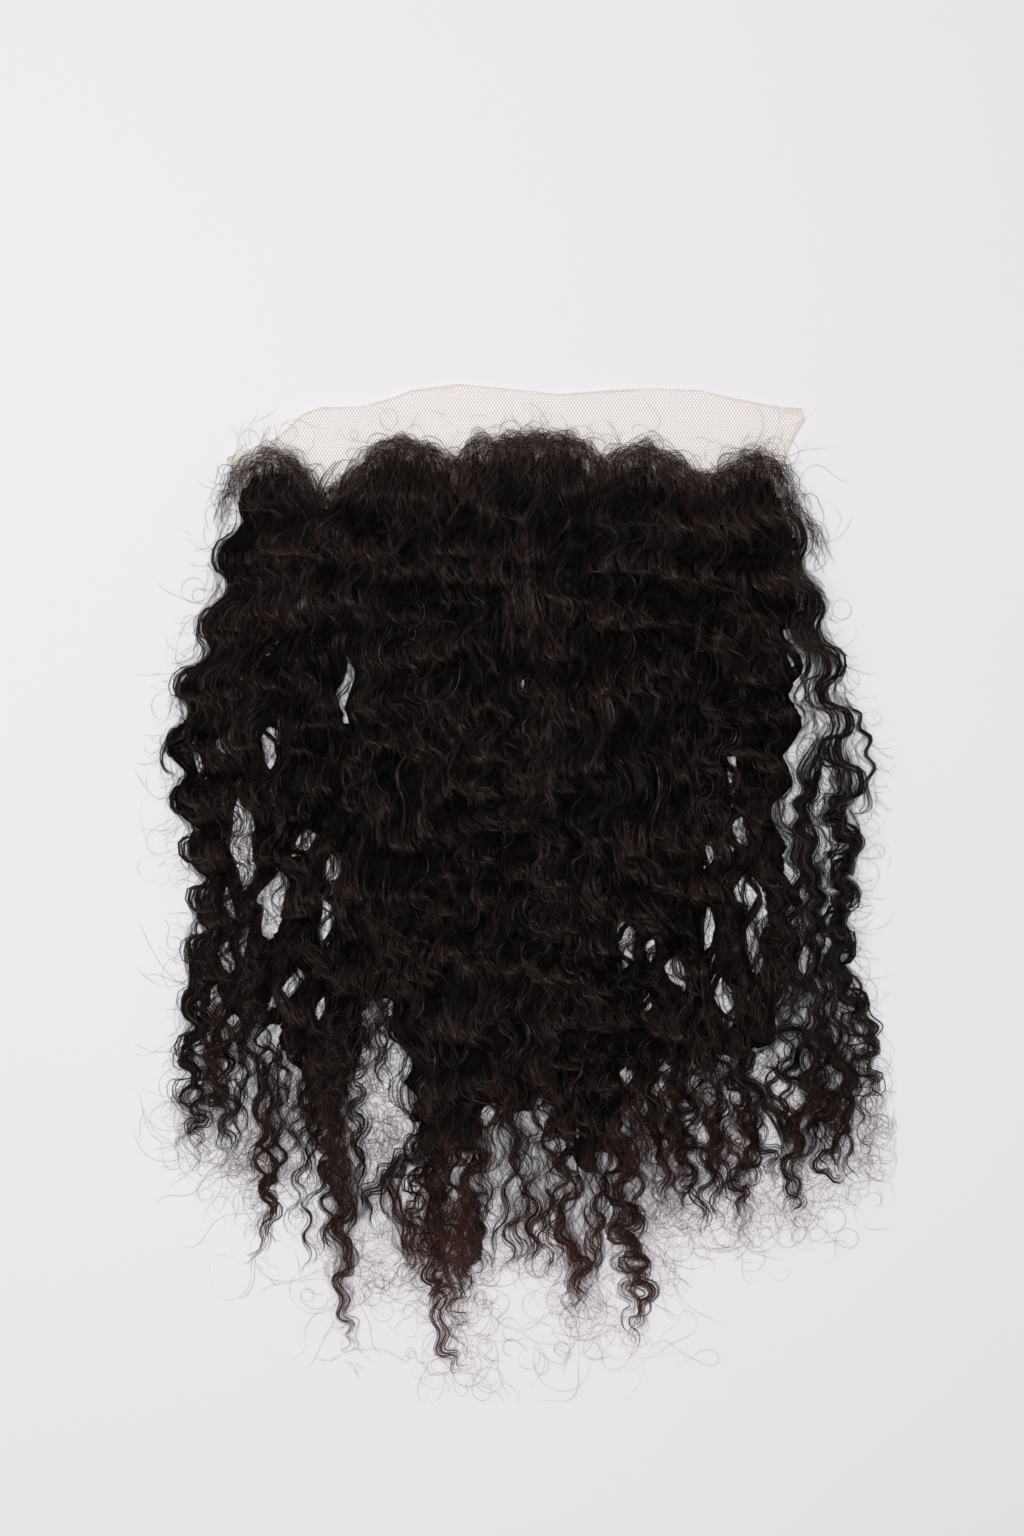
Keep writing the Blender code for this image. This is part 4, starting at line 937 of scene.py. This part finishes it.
def flyaways(rng, field, sections):
    """Fine hairs that have left the locks, most of them along the outline."""
    for window in WINDOWS:
        wide, tall = window_size(window)
        for _ in range(8 + int(wide * tall * WINDOW_HAIRS_A_SQUARE_METRE)):
            x = side(window[0]) + rng.uniform(-0.8, 0.8) * wide
            y = back(window[1]) + rng.uniform(-0.1, 0.7) * tall
            loose_curl(rng, x, y, rng.uniform(*LOOSE_HEIGHTS), math.pi + rng.normal(0, 0.7),
                       rng.uniform(0.010, 0.030), rng.uniform(0.003, 0.010), sections,
                       rng.uniform(0.00012, 0.00022))
    edge = np.argwhere((field.inside > -0.002) & (field.inside < 0.004))
    edge = np.concatenate([edge, edge[np.abs(field.x[edge[:, 0]]) > side(38)]])
    for i, j in edge[rng.integers(0, len(edge), EDGE_HAIRS)]:
        x, y = field.x[i] + rng.normal(0, 0.001), field.y[j] + rng.normal(0, 0.001)
        short = rng.uniform() < 0.72
        if y > back(4):
            continue
        out = math.copysign(1, x) if abs(x) > side(40) else rng.choice([-1, 1])
        heading = math.pi - out * rng.normal(0.35, 0.5)
        length = rng.uniform(0.008, 0.024) if short else rng.uniform(0.02, 0.065)
        loose_curl(rng, x, y, rng.uniform(*LOOSE_HEIGHTS), heading, length,
                   rng.uniform(0.004, 0.014), sections, rng.uniform(*LOOSE_WIDTHS))


def net_of_ends(area, rng, sections):
    """A cloud of fine crinkled ends round one place."""
    x, y, wide, tall, count = area
    for _ in range(count):
        across, along = rng.uniform(-0.5, 0.5, 2)
        loose_curl(rng, side(x + across * wide), back(y + along * tall),
                   rng.uniform(0.001, 0.005), math.pi + rng.normal(0, 1.0),
                   rng.uniform(0.03, 0.08), rng.uniform(0.0025, 0.008), sections,
                   rng.uniform(*LOOSE_WIDTHS))


def hairline_wisps(rng, sections):
    """Short hairs at the hairline that rise off the net, lean over and join the locks."""
    left, right = side(HAIRLINE[0][0]), side(HAIRLINE[-1][0])
    for x in rng.uniform(left, right, HAIRLINE_HAIRS):
        y = ragged_hairline(x) - rng.exponential(0.0042) + 0.0036
        slope = (hairline_y(x + 0.002) - hairline_y(x - 0.002)) / 0.004
        lean = math.pi / 2 - math.atan(slope) - rng.uniform(0.0, 0.8)
        if rng.uniform() < 0.4:
            lean = -math.pi / 2 - math.atan(slope) + rng.uniform(0.0, 0.8)
        length = rng.uniform(0.012, 0.034)
        columns = WISP_STATIONS
        share = np.linspace(0, 1, columns)
        end = math.copysign(math.pi, lean)
        way = lean + (end - lean) * smooth_step(share * 1.3) + 0.6 * one_wander(rng, columns, 4)
        path_x, path_y = walk(x, y, way, length / columns)
        path_z = 0.0015 + rng.uniform(*LOOSE_HEIGHTS) * np.sin(math.pi * np.minimum(share * 0.8, 1))
        path = np.column_stack([path_x, path_y, path_z])
        roll = (rng.normal(0, 0.6), 0.3, 1, rng.uniform())
        lay(sections, path, rng.uniform(0.00016, 0.00030), roll, rng.uniform(), (x, y))
    for _ in range(LONG_HAIRLINE_HAIRS):
        x = rng.uniform(left, right)
        if rng.uniform() < 0.55:
            x = side(rng.choice([-8, 43, 44, -45, 12]) + rng.normal(0, 2.2))
        loose_curl(rng, x, hairline_y(x) + rng.uniform(-0.004, 0.006), 0.003,
                   rng.normal(0, 0.9), rng.uniform(0.012, 0.045), rng.uniform(0.003, 0.010),
                   sections, rng.uniform(0.00010, 0.00016))


def large_parts(cell, least):
    """The cells that hang together in groups of at least so many."""
    kept = np.zeros_like(cell)
    left = set(zip(*np.nonzero(cell)))
    while left:
        group, queue = [], [left.pop()]
        while queue:
            i, j = queue.pop()
            group.append((i, j))
            for spot in ((i + 1, j), (i - 1, j), (i, j + 1), (i, j - 1)):
                if spot in left:
                    left.remove(spot)
                    queue.append(spot)
        if len(group) >= least:
            kept[tuple(np.array(group).T)] = True
    return kept


def grown(mask):
    """The mask with every cell next to it added."""
    for axis in (0, 1):
        mask = mask | np.roll(mask, 1, axis) | np.roll(mask, -1, axis)
    return mask


def shrunk(mask):
    """The mask without its outermost cells."""
    return ~grown(~mask)


def all_four(mask):
    """Where all four corners of a cell are true."""
    return mask[:-1, :-1] & mask[1:, :-1] & mask[:-1, 1:] & mask[1:, 1:]


def under_hair(field, number, material):
    """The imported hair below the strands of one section: a dark closed pad."""
    ys = field.y
    gx, gy = np.meshgrid(field.x, ys, indexing="ij")
    run = (back(0) - gy) / HAIR_LENGTH
    ragged = 0.002 * np.sin(gx * 900) * np.sin(gx * 313 + 1)
    solid = field.core > 0
    closed = shrunk(shrunk(shrunk(grown(grown(grown(solid))))))
    packed = (run < 0.66) | ((np.abs(gx) < side(16)) & (run < 0.73 + 0.03 * np.sin(gx * 150)))
    slit = grown(closed & ~solid & (np.abs(gx) < side(46)) & packed)
    inside = np.where(slit & closed, np.maximum(field.core, 0.0025), field.core)
    inside = np.minimum(inside, field.opening - 0.0022)
    inside = np.minimum(inside, hairline_y(gx) - UNDER_SETBACK + 2 * ragged - gy)
    thinner = (0.68 + 0.02 * np.sin(gx * 260) - run) * HAIR_LENGTH
    inside = np.where(np.abs(gx) > side(36), np.minimum(inside, thinner), inside)
    slope_x, slope_y = np.gradient(inside, FIELD_STEP)
    filled = inside > 0
    middle_x, middle_y = gx[:-1, :-1] + FIELD_STEP / 2, gy[:-1, :-1] + FIELD_STEP / 2
    whole = large_parts(all_four(filled), SMALLEST_PAD)
    cell = whole & (section_of(middle_x, middle_y) == number)
    full = np.zeros_like(filled)
    full[1:-1, 1:-1] = all_four(whole)
    ci, cj = np.nonzero(cell)
    corner_ids = (ci * len(ys) + cj)[:, None] + [0, len(ys), len(ys) + 1, 1]
    used, faces = np.unique(corner_ids, return_inverse=True)
    faces = faces.reshape(-1, 4)
    edges = np.concatenate([faces[:, [k, (k + 1) % 4]] for k in range(4)])
    keys = edges[:, 0] * len(used) + edges[:, 1]
    back_keys = edges[:, 1] * len(used) + edges[:, 0]
    rim = edges[~np.isin(keys, back_keys)]
    x, y, slope_x, slope_y, depth, full, loft = (
        grid.ravel()[used] for grid in (gx, gy, slope_x, slope_y, inside, full, field.height))
    steep = slope_x ** 2 + slope_y ** 2
    move = np.clip(depth, 0, 1.4 * FIELD_STEP) / np.maximum(steep, 0.25)
    outer = ~full & (depth < 2 * FIELD_STEP)
    x = np.where(outer, x - slope_x * move, x)
    y = np.where(outer, y - slope_y * move, y)
    under = np.where(y > -LACE_DEPTH / 2, 0.0012, FLOOR_GAP)
    height = under + FLOOR_GAP + UNDER_LOFT * loft
    top = np.column_stack([x, y, height])
    low = np.column_stack([x, y, under])
    count = len(used)
    walls = np.column_stack([rim[:, 1], rim[:, 0], rim[:, 0] + count, rim[:, 1] + count])
    floor = faces[:, ::-1] + count
    return mesh_object(SECTIONS[number] + "_under", np.concatenate([top, low]),
                       np.concatenate([faces, walls, floor]), material)


def hair_material(name, dark, light, roughness, hairs, shine, fade, first, gaps=None):
    """Black human hair: a hard clear cuticle over near-black pigment, so most of what shows is
    a soft glint across each strand, with red brown where hairs are thin. A broad strand is
    drawn as that many single hairs side by side, with straight or wavy gaps between them. Its
    ends fade to brown by the share fade, from first percent of the length on."""
    made, tree, shader = new_material(name)
    tone_and_shade = add(tree, "Attribute", attribute_name="tone_and_shade")
    place = add(tree, "UVMap", uv_map="strand")
    split = add(tree, "SeparateXYZ", [("Vector", place)])
    over = add(tree, "Math", [(0, split, "X"), (1, hairs)], operation="MULTIPLY")
    shift = add(tree, "Math", [(0, tone_and_shade, "Fac"), (1, 61.0), (2, split, "Y")],
                operation="MULTIPLY_ADD")
    spot = add(tree, "CombineXYZ", [("X", over), ("Y", shift)])
    noise = add(tree, "TexNoise", [("Vector", spot), ("Scale", 1.0), ("Detail", 2.0)])
    mixed = add(tree, "Math", [(0, noise), (1, 0.8), (2, tone_and_shade, "Fac")], operation="MULTIPLY_ADD")
    level = add(tree, "MapRange", [("Value", mixed), (1, 0.4), (2, 1.5)])
    # The ramp's dark end also paints the shade of wave troughs and dips, and its light end the
    # highlight on the crests, as the lightness read here carries them
    colour = add(tree, "ValToRGB", [("Fac", level)])
    colour.color_ramp.elements[0].color = linear(dark)
    colour.color_ramp.elements[0].position = 0.35
    colour.color_ramp.elements[1].color = linear(light)
    spots = add(tree, "TexCoord")
    along = add(tree, "SeparateXYZ", [("Vector", spots, "Object")])
    ends = add(tree, "MapRange", [("Value", along, "Y"), (1, back(first)), (2, back(BROWN_REACH)),
                                  (3, 0.0), (4, fade)])
    faded = add(tree, "Mix", [("Factor", ends), (6, colour), (7, linear(BROWN_ENDS))],
                data_type="RGBA")
    gloss = add(tree, "MapRange", [("Value", mixed), (1, 0.4), (2, 1.5), (3, roughness + 0.5),
                                   (4, roughness - 0.12)])
    if gaps == "straight":
        hair = add(tree, "MapRange", [("Value", noise), (1, 0.42), (2, 0.47)])
        join(shader, [("Alpha", hair)])
    elif gaps == "wavy":
        bend = add(tree, "CombineXYZ", [("X", shift)])
        drift = add(tree, "TexNoise", [("Vector", bend), ("Scale", 5.0), ("Detail", 1.0)])
        lane = add(tree, "Math", [(0, drift), (1, 2.4), (2, over)], operation="MULTIPLY_ADD")
        saw = add(tree, "Math", [(0, lane), (1, 1.0)], operation="PINGPONG")
        hair = add(tree, "Math", [(0, saw), (1, 0.26)], operation="LESS_THAN")
        join(shader, [("Alpha", hair)])
    bump = add(tree, "Bump", [("Height", noise), ("Strength", 0.5), ("Distance", 0.0003)])
    way = add(tree, "Tangent", direction_type="UV_MAP", uv_map="strand")
    join(shader, [("Base Color", faded, 2), ("Roughness", gloss), ("Normal", bump),
                  ("Tangent", way), ("Anisotropic", 0.75), ("IOR", 1.55),
                  ("Specular IOR Level", shine), ("Specular Tint", linear("#fff4f1"))])
    return made


def under_material():
    """Packed black hair seen in the depth between strands: matt and finely streaked, darker than
    the strands as painted shade for that depth. The streaks, 0.7 mm apart, stand for hairs
    0.08 mm thick that are too fine to show."""
    made, tree, shader = new_material("packed_black_hair_in_shade")
    place = add(tree, "TexCoord")
    streak = add(tree, "Mapping", [("Vector", place, "Object"),
                                   ("Scale", (1400.0, 90.0, 300.0))])
    noise = add(tree, "TexNoise", [("Vector", streak), ("Scale", 1.0), ("Detail", 4.0),
                                   ("Distortion", 0.6)])
    colour = add(tree, "ValToRGB", [("Fac", noise)])
    # Painted shade: darker than the strands, for the depth between them
    colour.color_ramp.elements[0].color = linear("#040303")
    colour.color_ramp.elements[1].color = linear("#0b0706")
    bump = add(tree, "Bump", [("Height", noise), ("Strength", 0.8), ("Distance", 0.0006)])
    join(shader, [("Base Color", colour), ("Normal", bump), ("Roughness", 0.7),
                  ("Specular IOR Level", 0.05)])
    return made


def net_material(name, thread, cell, share, opacity):
    """Undyed lace net of hair-fine nylon: matt threads in an even mesh with clear holes. The
    real mesh, about 0.7 mm, is too fine to show. It is drawn with threads two cells apart
    across the lace, which is 1.5 mm between threads for a cell of 0.9 mm. Where the hair is
    knotted in, its short dark roots close the holes."""
    made, tree, shader = new_material(name)
    place = add(tree, "TexCoord")
    split = add(tree, "SeparateXYZ", [("Vector", place, "Object")])
    threads = []
    for sign in (1, -1):
        turned = add(tree, "Math", [(0, split, "Y"), (1, 0.62 * sign), (2, split, "X")],
                     operation="MULTIPLY_ADD")
        scaled = add(tree, "Math", [(0, turned), (1, 1 / cell)], operation="MULTIPLY")
        saw = add(tree, "Math", [(0, scaled), (1, 1.0)], operation="PINGPONG")
        threads.append(add(tree, "Math", [(0, saw), (1, share)], operation="LESS_THAN"))
    both = add(tree, "Math", [(0, threads[0]), (1, threads[1])], operation="MAXIMUM")
    clear = add(tree, "Math", [(0, both), (1, opacity)], operation="MULTIPLY")
    roots = add(tree, "Attribute", attribute_name="roots")
    closed = add(tree, "Math", [(0, clear), (1, roots, "Fac")], operation="MAXIMUM")
    noise = add(tree, "TexNoise", [("Vector", place, "Object"), ("Scale", 60.0),
                                   ("Detail", 3.0)])
    colour = add(tree, "ValToRGB", [("Fac", noise)])
    colour.color_ramp.elements[0].color = linear(thread[0])
    colour.color_ramp.elements[1].color = linear(thread[1])
    shaded = add(tree, "Mix", [("Factor", roots, "Fac"), (6, colour), (7, linear("#1f1412"))],
                 data_type="RGBA")
    join(shader, [("Alpha", closed), ("Base Color", shaded, 2), ("Roughness", 0.75),
                  ("Specular IOR Level", 0.3)])
    return made


def lace_places(u, depth):
    """Where the net lies: u from 0 at its left end to 1 at its right, depth in percent."""
    left, right = (np.interp(depth, [row[1] for row in end], [row[0] for row in end])
                   for end in (LACE_LEFT, LACE_RIGHT))
    return left + (right - left) * u


def lace_height(x, y):
    """How high the net lies: in soft ripples where it is bare, flat where hair holds it."""
    ripple = np.sin(x * 95 + 0.6) * np.sin(x * 41 + 2.1) * 0.5 + 0.5
    free = smooth_step((y - hairline_y(x)) / 0.02)
    return LACE_REST + 0.0008 * ripple * free


def flat_grid(name, columns, rows, size):
    """A square sheet of cells round the origin, left selected."""
    bpy.ops.object.select_all(action="DESELECT")
    bpy.ops.mesh.primitive_grid_add(x_subdivisions=columns, y_subdivisions=rows, size=size)
    bpy.context.object.name = name
    return bpy.context.object


def make_lace(material):
    """The sheet of net, cut in a curve along its front and slanting at its ends."""
    lace = flat_grid("lace_net", 132, 40, 1)
    mesh = lace.data
    co = np.empty(len(mesh.vertices) * 3)
    mesh.vertices.foreach_get("co", co)
    co = co.reshape(-1, 3)
    u, v = co[:, 0] + 0.5, 0.5 - co[:, 1]
    first, last = LACE_FRONT[0][0], LACE_FRONT[-1][0]
    front = np.interp(first + (last - first) * u, *zip(*LACE_FRONT))
    depth = front + (100 - front) * v
    x = side(lace_places(u, depth))
    y = lace_y(depth)
    co = np.column_stack([x, y, lace_height(x, y)])
    mesh.vertices.foreach_set("co", co.ravel())
    mesh.update()
    roots = smooth_step((ragged_hairline(x) - 0.001 - y) / 0.009) ** 1.5
    layer = mesh.attributes.new("roots", "FLOAT", "POINT")
    layer.data.foreach_set("value", roots.astype(np.float32))
    bpy.ops.object.shade_smooth()
    mesh.materials.clear()
    mesh.materials.append(material)
    return lace


def make_turned_edge(material):
    """The net's cut edge turned back on itself: a narrow raised strip along front and ends."""
    line = LACE_LEFT[::-1] + LACE_FRONT[1:] + LACE_RIGHT[1:]
    knots = np.array([(side(x), lace_y(depth)) for x, depth in line])
    run = np.concatenate([[0], np.cumsum(np.hypot(*np.diff(knots, axis=0).T))])
    places = np.arange(0, run[-1], 0.0015)
    x, y = np.interp(places, run, knots[:, 0]), np.interp(places, run, knots[:, 1])
    inwards = beside(np.column_stack([x, y]))
    wide = 0.0010 + 0.0005 * np.sin(places * 70) + 0.0003 * np.sin(places * 190 + 1)
    for end, more in ((-49, 0.004), (49, 0.003)):
        wide = wide + more * np.exp(-((x - side(end)) / 0.010) ** 2)
    rows = []
    for share, lift in ((0.0, 0.0), (0.05, 0.0010), (0.5, 0.0009), (1.0, 0.0005)):
        xy = np.column_stack([x, y]) + inwards * (wide * share)[:, None]
        rows.append(np.column_stack([xy, lace_height(x, y) + lift]))
    corners = np.concatenate(rows)
    count = len(x)
    first = np.arange(count - 1)
    strip = np.column_stack([first, first + count, first + 1 + count, first + 1])
    faces = np.concatenate([strip + row * count for row in range(len(rows) - 1)])
    return mesh_object("lace_turned_edge", corners, faces, material)


def studio():
    """A pale flat floor seen from straight above, with large soft lamps."""
    floor = flat_grid("studio_floor", 8, 8, 8.0)
    paper, tree, shader = new_material("matt_white_paper")
    place = add(tree, "TexCoord")
    noise = add(tree, "TexNoise", [("Vector", place, "Object"), ("Scale", 3.0)])
    colour = add(tree, "ValToRGB", [("Fac", noise)])
    colour.color_ramp.elements[0].color = linear("#efedf0")
    colour.color_ramp.elements[1].color = linear("#f1eff2")
    join(shader, [("Base Color", colour), ("Roughness", 0.9), ("Specular IOR Level", 0.1)])
    floor.data.materials.append(paper)
    world = bpy.data.worlds.new("soft_room")
    world.use_nodes = True
    join(world.node_tree.nodes["Background"], [("Color", linear("#fffbfc")), ("Strength", 0.22)])
    bpy.context.scene.world = world
    for name, place, size, power, turn in (
            ("left_softbox", (-1.5, -0.15, 1.9), 1.4, 9.0, (0, math.radians(-38), 0)),
            ("top_softbox", (-0.10, 0.10, 2.65), 1.3, 49, (math.radians(-4), 0, 0))):
        lamp = bpy.data.lights.new(name, "AREA")
        lamp.size = size
        lamp.energy = power
        lit = bpy.data.objects.new(name, lamp)
        lit.location = place
        lit.rotation_euler = turn
        bpy.context.collection.objects.link(lit)
    lens = bpy.data.cameras.new("overhead_camera")
    lens.lens = 102.0
    lens.sensor_width = 36.0
    lens.sensor_fit = "AUTO"
    camera = bpy.data.objects.new("overhead_camera", lens)
    camera.location = (-0.0017, -0.1660, 2.50)
    bpy.context.collection.objects.link(camera)
    bpy.context.scene.camera = camera
    bpy.context.scene.view_settings.view_transform = "Standard"


def dress():
    """The lace, then the hair of each section in five layers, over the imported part's frame."""
    studio()
    rng = np.random.default_rng(7)
    field = HairField()
    black = hair_material("black_human_hair", "#040303", "#2b201e", 0.38, 4.2, 0.18, 0.5, 82,
                          "straight")
    fine = hair_material("fine_black_hair", "#1e1311", "#58413b", 0.45, 1.0, 0.12, 1.0, 64)
    # A darker, duller copy of the same black hair for the bands deep in each lock: painted shade
    # for the depth they lie in
    dense_in_shade = hair_material("dense_black_hair_in_shade", "#020202", "#0e0908", 0.55, 3.5, 0.04, 0.1, 82)
    frizz = hair_material("frizzy_black_hair", "#0b0707", "#4b3b37", 0.46, 3.0, 0.16, 0.8, 74,
                          "wavy")
    packed = under_material()
    net = net_material("undyed_lace_net", ("#e9ddd2", "#f1e7de"), 0.0009, 0.24, 0.58)
    edge = net_material("turned_lace_net", ("#ebe2d9", "#f1e9e1"), 0.0011, 0.30, 0.85)
    lace = make_lace(net)
    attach(lace, "root")
    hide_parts("lace_base")
    turned = make_turned_edge(edge)
    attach(turned, "root")
    strands, low, loose, veils = ([Strands() for _ in SECTIONS] for _ in range(4))
    for lock in LOCKS:
        across, along = abs(lock[7] - lock[2]) * LACE_WIDTH, (lock[1] - lock[0]) * HAIR_LENGTH
        if across > along or lock[9] < 1.5:  # single curls are drawn from CURLS
            continue
        lock_strands(lock, rng, field, strands)
        low_bands(lock, rng, field, low)
        companions(lock, rng, field, strands)
        veil_hairs(lock, rng, field, veils)
        tip_fuzz(lock, rng, field, loose)
    for curl in CURLS:
        curl_strands(curl, rng, field, strands)
    for area in TRESSES:
        tresses(area, rng, field, strands, loose)
    hairline_wisps(rng, loose)
    flyaways(rng, field, loose)
    for area in NETS:
        net_of_ends(area, rng, loose)
    for number, node in enumerate(SECTIONS):
        under = under_hair(field, number, packed)
        locks = strands[number].made(node + "_locks", black)
        wisps = loose[number].made(node + "_wisps", fine)
        veil = veils[number].made(node + "_veil", frizz)
        bands = low[number].made(node + "_bands", dense_in_shade)
        for piece in (under, bands, locks, wisps, veil):
            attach(piece, "root")
        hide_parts(node)


dress()
